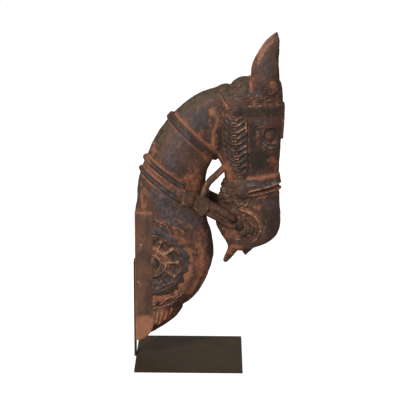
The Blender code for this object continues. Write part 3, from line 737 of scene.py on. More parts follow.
def mark_collars(marks, u, w, side):
    """Paint worn off in bands beside the collars' rolls, and a painted highlight along the breast collar
    rolls' crests.
    """
    crest, throat, crest_gap, _, radius = UPPER_COLLAR
    half = radius + crest_gap / 2
    gap, along = collar_gap(u, w, crest, throat)
    off = np.abs(gap)
    above = ramp(gap, half - 3.5, half - 1) * ramp(gap, half + 6, half + 3)
    below = ramp(-gap, half - 3, half - 1) * ramp(-gap, half + 4, half + 2)
    layers = (
        ("calm", ramp(off, half + 2, half)),
        ("dark", ramp(off, half - 1, half - 5) * 0.85),
        ("red", ramp(gap, half - 4, half - 1) * ramp(gap, half + 11, half + 6) * 0.95),
        ("bare", above * (0.35 + 0.4 * ramp(along, 90, 20))),
        ("bare", below * (0.3 + 0.45 * ramp(along, 110, 60))),
    )
    marks.add_all(side * ramp(along, -14, -4) * ramp(along, 168, 150), layers)
    for crest, throat, radius, _ in BREAST_COLLAR:
        gap, along = collar_gap(u, w, crest, throat)
        off = np.abs(gap)
        beside = ramp(off, radius - 1, radius + 1.5) * ramp(off, radius + 8, radius + 4)
        layers = (
            ("calm", ramp(off, radius + 2, radius)),
            ("dark", ramp(off, radius, radius - 3) * 0.9),
            # Painted highlight: a lighter blue line along each roll's crest.
            ("blue", ramp(off, 3, 1) * 0.5),
            ("red", beside * 0.9),
            ("bare", beside * (gap < radius + 6) * ramp(along, 105, 40) * 0.6),
        )
        marks.add_all(side * ramp(along, -4, 6) * ramp(along, 128, 100), layers)


def carve_medallion(marks, u, w, side):
    """Boss, hoops, beads, cells, zigzag fringe and double rim of the half flower on each shoulder."""
    du, dw = u - MEDALLION[0], w - MEDALLION[1]
    r, turn = np.hypot(du, dw), np.degrees(np.arctan2(dw, du))
    inside = side * ramp(u, PLAIN_FRONT, PLAIN_FRONT + 1.5) * (w < PLAIN_TOP)
    hoop, outer_hoop = (np.abs(r - radius) for radius in HOOPS)
    bead_turn = turn * BEAD_COUNT / 360
    bead = np.hypot((bead_turn - np.round(bead_turn)) * 2 * math.pi * r / BEAD_COUNT, r - BEAD_CIRCLE)
    phase = (turn - CELL_TURN) * CELL_COUNT / 360
    offset = phase - np.round(phase)
    spoke = np.abs(offset) * 2 * math.pi * r / CELL_COUNT
    spoke_width = 1.9 + 1.8 * ramp(r, 57, 71)
    scallop = CELL_REACH + CELL_BULGE * np.abs(np.sin(np.radians((turn - CELL_TURN) * CELL_COUNT / 2)))
    edge = np.abs(r - scallop)
    in_cells = ramp(r, 37, 39) * ramp(r, scallop + 1, scallop - 1)
    deep = np.clip((r - 38) / (scallop - 38), 0, 1)
    veins = np.abs((offset * 7) % 1 - 0.5) * 2
    cells = 2.8 * hump(spoke, spoke_width) - 3.6 * np.sqrt(np.sin(math.pi * deep)) * ramp(spoke, 0.5, 7)
    cells += 0.7 * ramp(deep, 0.2, 0.5) * ramp(veins, 0.5, 0.9)
    zig = np.abs((turn * FRINGE_COUNT / 360 + 0.2 * np.sin(np.radians(turn * 7))) % 1 - 0.5) * 2
    reach = 8 + 5 * np.sin(np.radians(turn * 4 + 200)) + 3 * np.sin(np.radians(turn * 11))
    teeth = FRINGE_VALLEY + reach * zig**1.4 + 5 * np.sin(np.radians(turn * 5 + 40))
    on_fringe = ramp(r, FRINGE_START - 1, FRINGE_START + 1) * ramp(r, teeth + 2, teeth - 2)
    notch = ramp(np.abs(r - FRINGE_START + 2), 2, 0.5)
    rim, outer_rim = (np.abs(r - radius) for radius in RIMS)
    upper = inside * ramp(turn, 84, 70) * ramp(turn, -72, -62)
    groove = ramp(r, 104, 107) * ramp(r, 114, 110)
    raised = 5.5 * np.sqrt(hump(r, HUB)) + 2.6 * hump(hoop, 2.2) + 2.8 * hump(outer_hoop, 2.8)
    raised += 1.8 * hump(bead, 2.6) + in_cells * cells + 1.8 * hump(edge, 2.0)
    marks.height += inside * (raised + 1.8 * on_fringe - 1.2 * notch)
    marks.height += upper * (1.9 * hump(rim, 1.7) + 1.9 * hump(outer_rim, 1.9) - groove)
    lit = hump(hoop, 2.4) * 0.9 + hump(outer_hoop, 3.2)
    lit = np.maximum(lit, in_cells * ramp(spoke, spoke_width, spoke_width * 0.4))
    lit = np.maximum(lit, ramp(edge, 2.2, 0.8) * 0.55)
    lit = np.maximum(lit, ramp(bead, 2.4, 0.8) * 0.6)
    stain = in_cells * ramp(spoke, 9, 3) * ramp(np.abs(r - scallop + 3), 12, 2)
    stain = np.maximum(stain, in_cells * ramp(r, 50, 40)) * ramp(w, 185, 225)
    ground = ramp(r, teeth - 1, teeth + 1) * ramp(r, 110, 106)
    bare_hoops = ramp(hoop, 2.4, 1) * 0.8 + ramp(outer_hoop, 3, 1)
    layers = (
        ("tan", lit * (0.55 + 0.45 * ramp(w, 150, 215))),
        ("tan", stain * 0.5),
        ("bare", stain * 0.85),
        ("bare", bare_hoops * ramp(w, 205, 225) * 0.8),
        ("bare", ground * 0.8 * ramp(turn, 30, -5)),
        ("red", ground * (0.6 + 0.4 * ramp(turn, 60, 20))),
        ("red", ramp(np.abs(r - 114), 9, 3) * 0.6),
        ("red", ramp(np.abs(r - BEAD_CIRCLE), 6.5, 5.5) * 0.7),
        ("red", in_cells * 0.4),
        ("red", ramp(r, 22, 18) * 0.45),
        ("dark", ramp(r, 22, 18) * 0.5),
        ("dark", in_cells * ramp(spoke, 2, 6) * 0.85),
        ("dark", on_fringe * 0.8),
        ("blue", in_cells * ramp(spoke, 2, 5) * ramp(w, 215, 190) * 0.8),
        ("blue", on_fringe * 0.9 * ramp(w, 160, 250)),
        ("calm", np.maximum(in_cells, on_fringe) * 0.8),
    )
    marks.add_all(inside, layers)
    marks.add("tan", upper * 0.45 * (hump(rim, 1.4) + hump(outer_rim, 1.5)))


def carve_cheek_band(marks, u, w, side):
    """A broad strap of two leaf rows on either side of a cord of beads."""
    left, cord, right = (np.interp(w, BAND_HEIGHTS, line) for line in (BAND_LEFT, BAND_CORD, BAND_RIGHT))
    on = side * ramp(w, 440, 446) * ramp(w, 614, 608)
    plate = on * ramp(u, left - 1.5, left + 1) * ramp(u, right + 1.5, right - 1)
    d = u - cord
    left_rail, right_rail, cord_rail = u - left - 1.5, u - right + 1.8, np.abs(d) - 5.2
    rung = np.abs((w / BEAD_PITCH) % 1 - 0.5) * BEAD_PITCH
    in_cord = ramp(np.abs(d), 5.0, 4.0)
    rungs = in_cord * hump(rung, 1.7)
    in_left = ramp(u, left + 1, left + 4) * ramp(d, -5.5, -8)
    in_right = ramp(u, right - 1, right - 4) * ramp(d, 5.5, 8)
    left_line = ((w + u - left) / LEAF_PITCH) % 1
    right_line = ((w - d * 0.65 + 9) / LEAF_PITCH) % 1
    left_gap = np.minimum(left_line, 1 - left_line) * LEAF_PITCH * 0.7
    right_gap = np.minimum(right_line, 1 - right_line) * LEAF_PITCH * 0.84
    leaf_lines = in_left * hump(left_gap, 1.8) + in_right * hump(right_gap, 1.8)
    hollow = in_left * ramp(left_gap, 1, 4.5) + in_right * ramp(right_gap, 1, 4.5)
    raised = 3.8 + 1.4 * (hump(left_rail, 2.0) + hump(right_rail, 2.2)) + 0.8 * hump(cord_rail, 1.5)
    marks.height += plate * (raised + 1.8 * rungs - 1.2 * in_cord + 1.2 * leaf_lines - 2.6 * hollow)
    layers = (
        ("tan", rungs * 0.8),
        ("tan", in_left * ramp(left_gap, 1.5, 0.6) * 0.45),
        ("tan", in_right * ramp(right_gap, 2.2, 0.7) * (0.2 + 0.8 * ramp(w, 490, 550))),
        ("tan", ramp(np.abs(right_rail), 2.0, 0.8) * ramp(w, 550, 590)),
        ("tan", ramp(np.abs(left_rail), 1.6, 0.8) * 0.3),
        ("red", ramp(np.abs(cord_rail), 2.0, 0.6) * 0.7),
        ("dark", np.maximum(hollow, in_cord * (1 - rungs))),
        ("blue", hollow * 0.35),
        ("calm", 1.0),
    )
    marks.add_all(plate, layers)
    marks.add("red", on * ramp(np.abs(u - left + 3), 3, 1) * 0.4)


def carve_eye(marks, u, w, side):
    """The eyeball in its shallow socket, the lids' paint, and painted shade in the gap under the upper lid.
    """
    centre_u, centre_w, radius, height = EYE
    gap = np.hypot(u - centre_u, w - centre_w)
    socket = ramp(np.hypot((u - 350) / 19, (w - 560) / 22), 1.05, 0.8)
    marks.height += side * (height * hump(gap, radius) - 2.2 * socket)
    layers = (
        ("red", 0.6 * ramp(np.hypot(u - 352, w - 556), 12, 3)),
        ("bare", 0.75 * ramp(np.hypot(u - 361, (w - 540) * 1.4), 10, 3)),
        # Painted shade: a dark arc in the gap under the upper lid.
        ("dark", 0.9 * ramp(np.abs(gap - 16.5), 5, 1) * ramp(w, 548, 560)),
        ("blue", 0.8 * ramp(np.abs(gap - 28), 6, 2) * ramp(w, 565, 550)),
        ("calm", ramp(gap, 34, 28) * 0.7),
    )
    marks.add_all(side, layers)


def carve_nose_band(marks, u, w, side):
    """Pits between the two rolls over the nose."""
    middle = np.interp(u, (236, 308, 326, 360, 376), (396, 410, 414, 418, 422))
    row = side * ramp(np.abs(w - middle), 3.2, 2) * (u > 300) * (u < 377)
    pit = np.abs((u / 6.5) % 1 - 0.5) * 6.5
    marks.height -= row * (1.0 + 2.2 * ramp(pit, 2.4, 0.6))
    marks.add("dark", row * 0.9)


def carve_mane(marks, u, w):
    """Fine slanting grooves on the crest and on the tufts behind the ears."""
    crest = [(back_u, back_w) for back_u, back_w, _, _, _ in NECK[12:]]
    gap, along = line_distance(u, w, crest, 60.0)
    band = ramp(gap, 24, 19) * ramp(w, 368, 380) * (u < 250)
    for crest_end, throat_end, half in COLLAR_LINES:
        band = band * ramp(np.abs(collar_gap(u, w, crest_end, throat_end)[0]), half, half + 3)
    hatch = np.sin((along * 0.7 + gap * 1.2) * 2 * math.pi / 5.2)
    tuft = ramp(np.hypot((u - 277) / 38, (w - 688) / 26), 1.05, 0.85) * ramp(w, 664, 674)
    tuft = np.maximum(tuft, ramp(np.hypot((u - 229) / 33, (w - 672) / 20), 1.05, 0.85) * ramp(w, 654, 664))
    strands = np.sin((u * 0.75 + w * 0.55 + 2.5 * np.sin(w / 9)) * 2 * math.pi / 6.2)
    marks.height += 0.2 * band * (1 - tuft) * hatch + 0.3 * tuft * strands
    step = ramp(gap, 22.5, 21) - ramp(gap, 26, 22.5)
    marks.height += 0.5 * step * band
    marks.add("olive", np.maximum(band, tuft * 0.9))
    marks.add("calm", np.maximum(band, tuft))
    marks.add("dark", 0.45 * np.maximum(band, tuft) * ramp(np.where(tuft > 0.3, strands, hatch), 0.2, -0.8))


def averaged(values, edges, degree, rounds):
    """Values spread over neighbouring points, in this many rounds."""
    first, second = edges[:, 0], edges[:, 1]
    count = len(degree)
    columns = values.reshape(count, -1).T.copy()
    for _ in range(rounds):
        for k, column in enumerate(columns):
            total = np.bincount(first, column[second], count) + np.bincount(second, column[first], count)
            columns[k] = 0.5 * column + 0.5 * total / degree
    return columns.T.reshape(values.shape)


def read_all(items, name, width, kind=float):
    """One property of all of a mesh's items, as rows of numbers."""
    values = np.empty(len(items) * width, kind)
    items.foreach_get(name, values)
    return values.reshape(-1, width)


def drawn_places(points):
    """Points of the frame as drawn ones, each with its distance from the middle: (u, y, w)."""
    return (points - [BACK_X, 0, FOOT_Z]) / MM


def write_points(mesh, points):
    mesh.vertices.foreach_set("co", points.astype(np.float32).ravel())
    mesh.update()


# Patches of paint and wear on the sides, and one of painted shade along the chest's front edge: mark,
# centre (u, w), half length, half width, lean in degrees, strength
PATCHES = (
    ("red", 157, 440, 32, 42, 30, 0.75),
    ("red", 120, 415, 20, 12, -35, 0.5),
    ("red", 22, 372, 9, 27, 12, 0.9),
    ("bare", 20, 380, 4, 20, 12, 0.5),
    ("bare", 30, 408, 12, 8, -60, 0.4),
    ("bare", 36, 492, 8, 16, 30, 0.45),
    ("red", 44, 515, 16, 24, -20, 0.6),
    ("red", 198, 622, 9, 9, 0, 0.7),
    ("red", 190, 500, 12, 30, 40, 0.8),
    ("red", 180, 210, 24, 60, 5, 0.9),
    ("bare", 172, 215, 10, 38, 5, 0.45),
    ("red", 170, 300, 14, 30, 10, 0.5),
    ("red", 130, 325, 45, 9, -35, 0.5),
    ("red", 225, 460, 14, 26, -20, 0.9),
    ("red", 358, 488, 13, 22, 30, 0.8),
    ("red", 345, 449, 36, 6, 5, 1.0),
    ("red", 370, 415, 9, 14, 0, 0.8),
    ("red", 320, 372, 22, 7, 5, 0.7),
    ("red", 252, 300, 20, 26, 40, 0.7),
    ("red", 262, 250, 26, 20, 0, 0.8),
    ("red", 352, 695, 10, 15, 0, 0.95),
    ("red", 300, 698, 8, 26, 5, 0.8),
    ("bare", 297, 690, 5, 22, 5, 0.45),
    ("red", 200, 590, 10, 30, 15, 0.5),
    ("red", 206, 545, 8, 30, 0, 0.7),
    ("red", 245, 455, 16, 30, 10, 0.8),
    ("bare", 240, 470, 8, 26, 10, 0.35),
    ("red", 100, 625, 16, 8, -40, 0.5),
    ("red", 72, 78, 34, 26, 35, 0.9),
    ("bare", 66, 72, 26, 20, 35, 0.62),
    ("red", 262, 684, 13, 9, 20, 0.5),
    ("red", 42, 470, 20, 8, -35, 0.5),
    ("dark", 120, 480, 26, 16, -30, 0.5),
    ("blue", 95, 500, 26, 38, -10, 0.7),
    ("blue", 120, 545, 30, 22, 40, 0.8),
    ("dark", 170, 600, 34, 34, 0, 0.85),
    ("blue", 170, 600, 26, 34, 0, 0.45),
    ("dark", 80, 395, 40, 36, 0, 0.6),
    ("blue", 80, 400, 40, 40, 0, 0.75),
    ("blue", 110, 350, 50, 26, -20, 0.8),
    ("blue", 160, 325, 20, 30, 0, 0.7),
    ("blue", 325, 428, 34, 9, 5, 1.0),
    ("blue", 300, 440, 20, 12, 0, 0.6),
    ("blue", 300, 675, 34, 12, 0, 0.7),
    ("blue", 330, 600, 30, 9, 0, 0.5),
    ("blue", 335, 545, 14, 24, 25, 0.5),
    ("blue", 350, 380, 26, 18, 0, 0.45),
    ("blue", 330, 745, 22, 36, 15, 0.4),
    ("dark", 346, 736, 16, 38, 12, 0.6),
    ("dark", 320, 500, 38, 46, 0, 1.0),
    ("dark", 305, 560, 14, 44, 0, 1.0),
    ("dark", 218, 560, 10, 44, 0, 0.9),
    ("dark", 330, 627, 50, 11, 0, 0.9),
    ("dark", 266, 625, 16, 12, 0, 0.9),
    ("dark", 282, 410, 20, 18, 0, 0.6),
    ("dark", 355, 330, 26, 50, 0, 0.6),
    # Painted shade: darker along the chest's front edge.
    ("dark", 198, 240, 12, 70, 0, 0.7),
    ("dark", 185, 170, 24, 24, 0, 0.5),
    ("dark", 22, 78, 26, 8, 10, 0.7),
    ("dark", 34, 320, 14, 34, 0, 0.55),
    ("dark", 30, 236, 10, 22, 15, 0.45),
    ("dark", 34, 130, 12, 40, 0, 0.5),
    ("red", 12, 290, 8, 40, 0, 0.45),
    ("red", 14, 150, 9, 30, 0, 0.45),
)


# Strokes of paint and wear on the sides: mark, half width, strength, route
STROKES = (
    ("bare", 4.5, 0.85, ((362, 820), (351, 811), (338, 798), (325, 778), (316, 762))),
    ("red", 4.5, 0.8, ((325, 780), (314, 760), (304, 741), (299, 725))),
    ("tan", 1.8, 0.5, ((352, 803), (343, 792), (328, 774), (317, 753), (309, 738))),
    ("bare", 4.0, 0.6, ((199, 628), (206, 618), (214, 602), (209, 584), (203, 567), (203, 540), (206, 522))),
    ("bare", 4.0, 0.6, ((206, 522), (216, 508), (228, 486), (240, 462), (244, 446))),
    ("bare", 7.0, 0.5, ((198, 624), (206, 616))),
    ("blue", 8.0, 1.0, ((290, 434), (320, 430), (350, 434))),
    ("blue", 5.0, 0.9, ((350, 434), (366, 437))),
    ("bare", 4.0, 0.85, ((292, 448), (330, 451), (374, 456))),
    ("tan", 7.0, 0.3, ((296, 430), (330, 428), (362, 433))),
    ("tan", 2.2, 0.85, ((296, 413), (336, 422), (374, 430))),
    ("tan", 2.0, 0.6, ((296, 401), (336, 408), (374, 415))),
    ("tan", 2.4, 0.4, ((314, 575), (322, 557), (333, 541), (346, 531), (362, 528))),
    ("bare", 6.0, 0.55, ((278, 366), (296, 361), (313, 348), (324, 332), (328, 318))),
    ("bare", 2.4, 0.6, ((222, 662), (229, 648), (240, 634))),
    ("dark", 7.0, 0.9, ((290, 626), (330, 627), (372, 628))),
    ("tan", 1.6, 0.5, ((282, 640), (320, 641), (375, 643))),
    ("tan", 1.6, 0.35, ((282, 613), (320, 613), (360, 614))),
    ("tan", 2.0, 0.5, ((157, 373), (175, 353), (188, 369), (191, 388))),
    ("tan", 1.6, 0.4, ((186, 396), (212, 383), (240, 366))),
    ("bare", 5.0, 0.55, ((170, 268), (176, 240), (176, 205), (166, 170), (150, 140))),
    ("red", 9.0, 0.8, ((164, 280), (172, 240), (172, 205), (160, 168), (140, 134))),
    ("red", 5.0, 0.6, ((208, 255), (212, 225), (206, 190), (190, 160), (165, 132), (140, 118))),
    ("tan", 1.6, 0.35, ((372, 400), (376, 360), (374, 310), (356, 282))),
    ("red", 3.0, 0.6, ((377, 520), (376, 480), (375, 455))),
    ("red", 4.0, 0.6, ((14, 440), (18, 410), (20, 380))),
    ("bare", 3.0, 0.5, ((240, 300), (236, 285), (232, 262), (236, 240), (228, 228))),
    ("bare", 7.0, 0.5, ((266, 262), (246, 247), (233, 232))),
    ("tan", 2.2, 0.5, ((278, 378), (296, 378), (318, 366), (336, 346), (342, 322), (334, 296))),
)


def patch_reach(u, w, centre_u, centre_w, length, width, lean):
    """0 at a patch's middle and 1 all round its edge."""
    cos, sin = math.cos(math.radians(lean)), math.sin(math.radians(lean))
    du, dw = u - centre_u, w - centre_w
    return np.hypot((du * cos + dw * sin) / length, (dw * cos - du * sin) / width)


def carved_mesh():
    """The carving with its relief, tool marks, paint, wear, painted shade and painted highlight."""
    mesh = rough_carving()
    edges = read_all(mesh.edges, "vertices", 2, np.int64)
    points = read_all(mesh.vertices, "co", 3)
    degree = np.bincount(edges.ravel(), minlength=len(points))
    points = averaged(points, edges, degree, 3)
    write_points(mesh, points)
    normals = read_all(mesh.vertex_normals, "vector", 3)
    drawn = drawn_places(points)
    u, _, w = drawn.T
    wavy_u = u + (noise(drawn, 26, 5) - 0.5) * WAVINESS
    wavy_w = w + (noise(drawn, 26, 6) - 0.5) * WAVINESS
    side = ramp(np.abs(normals[:, 1]), 0.25, 0.6)
    marks = Marks(len(points))
    for carve in (carve_lines, carve_medallion, carve_cheek_band, carve_eye, carve_nose_band):
        carve(marks, wavy_u, wavy_w, side)
    carve_mane(marks, wavy_u, wavy_w)
    mark_collars(marks, u, w, side)
    plain = ramp(u, PLAIN_FRONT + 0.8, PLAIN_FRONT - 0.2) * ramp(w, PLAIN_TOP + 0.8, PLAIN_TOP - 0.2)
    marks.height *= 1 - plain
    gouges = (layered(drawn, 15, 21, 2) - 0.5) * GOUGE_DEPTH
    pits = (layered(drawn * [1, 1, 0.4], 4, 31, 2) - 0.5) * PIT_DEPTH
    marks.height += (gouges + pits) * (1 - 0.75 * plain)
    points = points + normals * (marks.height * MM)[:, None]
    points[:, 0] = np.maximum(points[:, 0], BACK_X)
    write_points(mesh, points)
    normals = read_all(mesh.vertex_normals, "vector", 3)
    near = averaged(points, edges, degree, 6)
    far = averaged(near, edges, degree, 50)
    fine, broad = (((level - points) * normals).sum(1) / MM for level in (near, far))
    add_wear(marks, drawn_places(points), np.abs(normals[:, 1]), plain, fine, broad)
    stored = {name: getattr(marks, name).clip(0, 1) for name in Marks.NAMES}
    # Hollow: how deep each point lies in its wider surroundings, which the wood shader darkens as painted
    # shade.
    stored |= {"plain": plain, "hollow": ramp(broad, 0.3, 1.6)}
    for name, values in stored.items():
        attribute = mesh.attributes.new(name, "FLOAT", "POINT")
        attribute.data.foreach_set("value", values.astype(np.float32))
    return thinned(mesh)


def thinned(mesh):
    """The mesh with its number of triangles cut down."""
    whole = new_object("whole", mesh)
    thin = whole.modifiers.new("thin", "DECIMATE")
    thin.ratio = min(1.0, MOST_TRIANGLES / (len(mesh.polygons) * 2))
    thin.use_collapse_triangulate = True
    return evaluated_mesh(whole)


def add_wear(marks, drawn, sideways, plain, fine, broad):
    """Adds patches and strokes of paint, wear that follows edges and hollows, and painted shade in fine
    creases and along the chest's front edge. Fine and broad say how deep each point lies beside its near and
    its wider surroundings."""
    u, _, w = drawn.T
    blotch = layered(drawn, 22, 41)
    speck = layered(drawn, 5, 51)
    patchy = ramp(layered(drawn, 15, 61), 0.36, 0.62)
    marks.tan *= 0.3 + 0.7 * patchy
    marks.red *= 0.55 + 0.45 * patchy
    marks.bare *= 0.55 + 0.45 * ramp(speck, 0.3, 0.6)
    for name, *patch, strength in PATCHES:
        ragged = patch_reach(u, w, *patch) + (blotch - 0.5) * 1.3 + (speck - 0.5) * 0.7
        marks.add(name, strength * ramp(ragged, 1.25, 0.5))
    side = ramp(sideways, 0.1, 0.4)
    for name, half_width, strength, route in STROKES:
        gap, _ = line_distance(u, w, route, half_width * 2.5)
        ragged = gap / half_width + (speck - 0.5) * 1.2 + (blotch - 0.5) * 0.8
        marks.add(name, side * strength * ramp(ragged, 1.2, 0.5))
    marks.add("calm", ramp(w, 705, 735) * 0.75)
    free = (1 - plain) * (1 - marks.calm.clip(0, 1))
    mottle = layered(drawn, 9, 81) + (blotch - 0.5) * 0.5
    painted = 1 - 0.75 * np.maximum(marks.dark, marks.blue * 0.8).clip(0, 1)
    marks.add("red", (free * painted + plain * 0.4) * ramp(mottle, 0.52, 0.85) * 0.75)
    marks.add("dark", (free + plain * 0.4) * ramp(mottle, 0.42, 0.2) * 0.8)
    marks.add("tan", free * (0.3 + 0.7 * patchy) * ramp(-fine + (speck - 0.5) * 0.10, 0.12, 0.30) * 0.5)
    marks.add("tan", free * ramp(-broad + (speck - 0.5) * 0.5, 0.9, 1.9) * 0.3)
    marks.add("red", free * ramp(broad + (blotch - 0.5) * 1.1, 0.3, 1.1) * 0.6)
    marks.add("bare", plain * ramp(w + (blotch - 0.5) * 18, 72, 64))
    # Painted shade: darker in fine creases and recesses.
    marks.add("dark", ramp(fine, 0.16, 0.4) * 0.7)
    rim = np.maximum(ramp(u, 3.5, 1.5), ramp(w, PLAIN_TOP - 5, PLAIN_TOP - 2.5))
    marks.add("bare", plain * rim * (0.25 + 0.4 * ramp(speck, 0.35, 0.6)))


def paint(r, g, b):
    """A colour given from 0 to 255 as seen, as the linear colour that a shader takes."""
    values = (v / 255 for v in (r, g, b))
    return (*(v / 12.92 if v <= 0.04045 else ((v + 0.055) / 1.055) ** 2.4 for v in values), 1.0)


class Shader:
    """A material's nodes, made and joined by short calls."""

    def __init__(self, name):
        self.material = bpy.data.materials.new(name)
        self.material.use_nodes = True
        self.tree = self.material.node_tree
        self.surface = self.tree.nodes["Principled BSDF"]
        self.place = self.tree.nodes.new("ShaderNodeTexCoord").outputs["Object"]

    def node(self, kind, links=(), **settings):
        made = self.tree.nodes.new(kind)
        for name, value in settings.items():
            setattr(made, name, value)
        for socket, value in dict(links).items():
            self.put(made.inputs[socket], value)
        return made

    def put(self, socket, value):
        if isinstance(value, bpy.types.NodeSocket):
            self.tree.links.new(value, socket)
        else:
            socket.default_value = value

    def mark(self, name):
        return self.node("ShaderNodeAttribute", attribute_name=name).outputs["Fac"]

    def noise(self, scale, detail=3.0, stretch=(1, 1, 1), rough=0.55):
        """Noise whose blobs are about 1/scale of a metre, stretched along the axes."""
        spot = self.node("ShaderNodeMapping", {"Vector": self.place, "Scale": stretch}).outputs["Vector"]
        links = {"Vector": spot, "Scale": scale, "Detail": detail, "Roughness": rough}
        return self.node("ShaderNodeTexNoise", links).outputs["Fac"]

    def ramp(self, value, low, high, least=0.0, most=1.0):
        links = {"Value": value, "From Min": low, "From Max": high, "To Min": least, "To Max": most}
        return self.node("ShaderNodeMapRange", links, interpolation_type="SMOOTHSTEP").outputs["Result"]

    def math(self, operation, a, b):
        made = self.node("ShaderNodeMath", operation=operation)
        self.put(made.inputs[0], a)
        self.put(made.inputs[1], b)
        return made.outputs["Value"]

    def mix(self, share, a, b):
        made = self.node("ShaderNodeMix", data_type="RGBA")
        self.put(made.inputs[0], share)
        self.put(made.inputs[6], a)
        self.put(made.inputs[7], b)
        return made.outputs[2]

    def bump(self, height, strength, distance, under=None):
        links = {"Height": height, "Strength": strength, "Distance": distance}
        if under:
            links["Normal"] = under
        return self.node("ShaderNodeBump", links).outputs["Normal"]


def wood_shader():
    """Old painted wood: dark worn paint over red ground over brown wood, with painted shade darkening its
    hollows.
    """
    s = Shader("old_painted_wood")
    broad = s.noise(28, 4)
    middle = s.noise(90, 4)
    fine = s.noise(270, 3)
    grain = s.noise(70, 5, (9, 9, 0.7), 0.7)
    brown = s.mix(s.ramp(broad, 0.35, 0.65), paint(70, 47, 36), paint(98, 66, 50))
    brown = s.mix(s.ramp(middle, 0.4, 0.7, 0, 0.5), brown, paint(82, 64, 52))
    brown = s.mix(s.ramp(fine, 0.5, 0.68, 0, 0.4), brown, paint(118, 76, 54))
    colour = s.mix(s.ramp(fine, 0.48, 0.32, 0, 0.6), brown, paint(50, 36, 28))
    streaks = s.noise(46, 4, (1, 1, 0.12), 0.6)
    wood = s.mix(s.ramp(grain, 0.3, 0.7), paint(94, 64, 50), paint(116, 82, 64))
    wood = s.mix(s.ramp(streaks, 0.5, 0.72, 0, 0.6), wood, paint(78, 56, 45))
    wood = s.mix(s.ramp(middle, 0.5, 0.7, 0, 0.4), wood, paint(128, 88, 66))
    wood = s.mix(s.ramp(broad, 0.5, 0.64, 0, 0.65), wood, paint(76, 55, 45))
    colour = s.mix(s.mark("plain"), colour, wood)
    dark = s.mix(s.ramp(middle, 0.35, 0.7), paint(42, 33, 28), paint(60, 48, 40))
    # The dark mark is dark paint, and also painted shade in creases, under the upper lid and along the
    # chest's front edge.
    colour = s.mix(s.math("MULTIPLY", s.mark("dark"), s.ramp(middle, 0.3, 0.5, 0.8, 1)), colour, dark)
    blue = s.mix(s.ramp(middle, 0.4, 0.65), paint(62, 57, 60), paint(98, 90, 94))
    # The blue mark is blue-grey paint, and also a painted highlight along the breast collar rolls' crests.
    colour = s.mix(s.math("MULTIPLY", s.mark("blue"), s.ramp(broad, 0.35, 0.6, 0.45, 0.95)), colour, blue)
    olive = s.mix(s.ramp(middle, 0.35, 0.65), paint(64, 49, 36), paint(92, 74, 56))
    colour = s.mix(s.math("MULTIPLY", s.mark("olive"), 0.9), colour, olive)
    red = s.mix(s.ramp(middle, 0.35, 0.65), paint(112, 64, 42), paint(150, 95, 70))
    uneven = s.math("ADD", s.ramp(fine, 0.36, 0.64, -0.13, 0.13), s.ramp(middle, 0.3, 0.7, -0.2, 0.2))
    red_share = s.math("ADD", s.mark("red"), uneven)
    colour = s.mix(s.ramp(red_share, 0.2, 0.9, 0, 0.88), colour, red)
    bare = s.mix(s.ramp(grain, 0.3, 0.7), paint(148, 94, 68), paint(182, 123, 92))
    bare = s.mix(s.ramp(broad, 0.45, 0.62, 0, 0.4), bare, paint(134, 86, 63))
    bare_share = s.math("ADD", s.mark("bare"), s.math("MULTIPLY", uneven, s.mark("bare")))
    colour = s.mix(bare_share, colour, bare)
    tan = s.mix(s.ramp(fine, 0.35, 0.65), paint(144, 104, 78), paint(190, 148, 114))
    tan_share = s.math("ADD", s.mark("tan"), uneven)
    colour = s.mix(s.ramp(tan_share, 0.22, 0.85, 0, 0.9), colour, tan)
    # Painted shade: hollows darkened in patches towards dark brown.
    painted_hollow_shade = s.math("MULTIPLY", s.mark("hollow"), s.ramp(middle, 0.45, 0.7, 0, 0.5))
    colour = s.mix(painted_hollow_shade, colour, paint(48, 36, 30))
    s.put(s.surface.inputs["Base Color"], colour)
    s.put(s.surface.inputs["Roughness"], s.ramp(middle, 0.3, 0.7, 0.5, 0.75))
    s.surface.inputs["Specular IOR Level"].default_value = 0.35
    first = s.bump(grain, 0.35, 0.0006)
    s.put(s.surface.inputs["Normal"], s.bump(fine, 0.35, 0.0004, first))
    return s.material


def steel_shader(name, dark, light, metallic, rough):
    """Steel whose patina and shine vary in clouds."""
    s = Shader(name)
    cloud = s.noise(18, 4)
    fine = s.noise(500, 2)
    share = s.math("ADD", s.ramp(cloud, 0.3, 0.7, 0, 0.7), s.ramp(fine, 0.35, 0.65, 0, 0.3))
    s.put(s.surface.inputs["Base Color"], s.mix(share, dark, light))
    s.surface.inputs["Metallic"].default_value = metallic
    s.put(s.surface.inputs["Roughness"], s.ramp(cloud, 0.3, 0.7, rough - 0.07, rough + 0.08))
    s.put(s.surface.inputs["Normal"], s.bump(fine, 0.15, 0.0002))
    return s.material


def dress(name, material):
    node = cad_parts[name]
    node.data.materials.clear()
    node.data.materials.append(material)


def make_camera():
    """The photograph's camera, found from the base plate's corners."""
    place = (0.0703, -3.5222, 1.4577)
    pitch, yaw, roll = math.radians(16.49), math.radians(-0.36), math.radians(0.35)
    forward = Vector((math.sin(yaw) * math.cos(pitch), math.cos(yaw) * math.cos(pitch), -math.sin(pitch)))
    right = Vector((math.cos(yaw), -math.sin(yaw), 0))
    up = right.cross(forward)
    right, up = math.cos(roll) * right + math.sin(roll) * up, math.cos(roll) * up - math.sin(roll) * right
    data = bpy.data.cameras.new("camera")
    data.lens = FOCAL_PIXELS / PHOTO_WIDTH * data.sensor_width
    data.clip_start, data.clip_end = 0.1, 100
    camera = new_object("camera", data)
    turn = Matrix((right, up, -forward)).transposed().to_4x4()
    camera.matrix_world = Matrix.Translation(place) @ turn
    bpy.context.scene.camera = camera


def add_light(name, place, aim, size, power):
    data = bpy.data.lights.new(name, "AREA")
    data.shape = "DISK"
    data.size = size
    data.energy = power
    light = new_object(name, data)
    light.location = place
    light.rotation_mode = "QUATERNION"
    light.rotation_quaternion = (Vector(aim) - Vector(place)).to_track_quat("-Z", "Y")
    return light


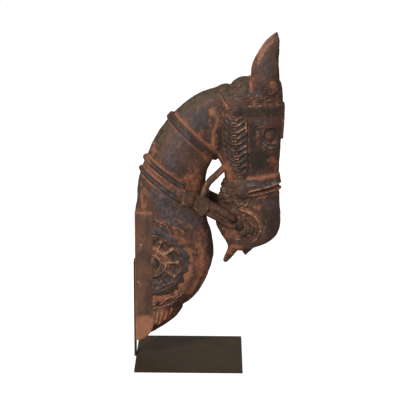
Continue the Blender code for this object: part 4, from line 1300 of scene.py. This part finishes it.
def make_studio():
    world = bpy.data.worlds.new("studio")
    world.use_nodes = True
    tree = world.node_tree
    seen = tree.nodes.new("ShaderNodeLightPath").outputs["Is Camera Ray"]
    strength = tree.nodes.new("ShaderNodeMapRange")
    strength.inputs["To Min"].default_value = 0.32
    strength.inputs["To Max"].default_value = 1.0
    tree.links.new(seen, strength.inputs["Value"])
    tree.links.new(strength.outputs["Result"], tree.nodes["Background"].inputs["Strength"])
    tree.nodes["Background"].inputs["Color"].default_value = (1, 1, 1, 1)
    bpy.context.scene.world = world
    bpy.context.scene.view_settings.view_transform = "Standard"
    add_light("key", (-1.6, -2.4, 2.3), (0, 0, 0.5), 1.1, 85)
    add_light("fill", (1.8, -2.2, 1.0), (0, 0, 0.45), 1.8, 7)
    back = add_light("back", (0.6, 2.6, 2.4), (0, 0, 0.5), 1.4, 40)
    back.visible_glossy = False
    floor = Solids()
    floor.points = [(-6, -6, 0), (6, -6, 0), (6, 6, 0), (-6, 6, 0)]
    floor.faces = [(0, 1, 2, 3)]
    floor_object = new_object("floor", floor.mesh("floor"))
    s = Shader("pale_floor")
    seen = s.node("ShaderNodeLightPath").outputs["Is Camera Ray"]
    s.surface.inputs["Base Color"].default_value = (0.35, 0.35, 0.35, 1)
    s.surface.inputs["Roughness"].default_value = 1.0
    s.surface.inputs["Emission Color"].default_value = (1, 1, 1, 1)
    s.put(s.surface.inputs["Emission Strength"], s.math("MULTIPLY", seen, 0.9))
    floor_object.data.materials.append(s.material)


make_camera()
make_studio()

carving = new_object("carved_head", carved_mesh())
carving.data.materials.clear()
carving.data.materials.append(wood_shader())
carving.data.shade_smooth()
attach(carving, "root")
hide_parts("horse_head")

plate_steel = steel_shader("brown_steel", paint(50, 37, 20), paint(72, 54, 31), 0.3, 0.58)
for node_name in ("base_plate", "upright_bar"):
    dress(node_name, plate_steel)
screw_steel = steel_shader("screw_steel", paint(84, 78, 72), paint(140, 134, 126), 0.85, 0.38)
for node_name in ("screw_bottom", "screw_middle", "screw_top"):
    dress(node_name, screw_steel)
nail_steel = steel_shader("nail_steel", paint(150, 142, 134), paint(205, 198, 190), 0.5, 0.45)
for node_name in ("nail_upper", "nail_lower"):
    dress(node_name, nail_steel)

print(len(carving.data.polygons), "triangles in the carving")
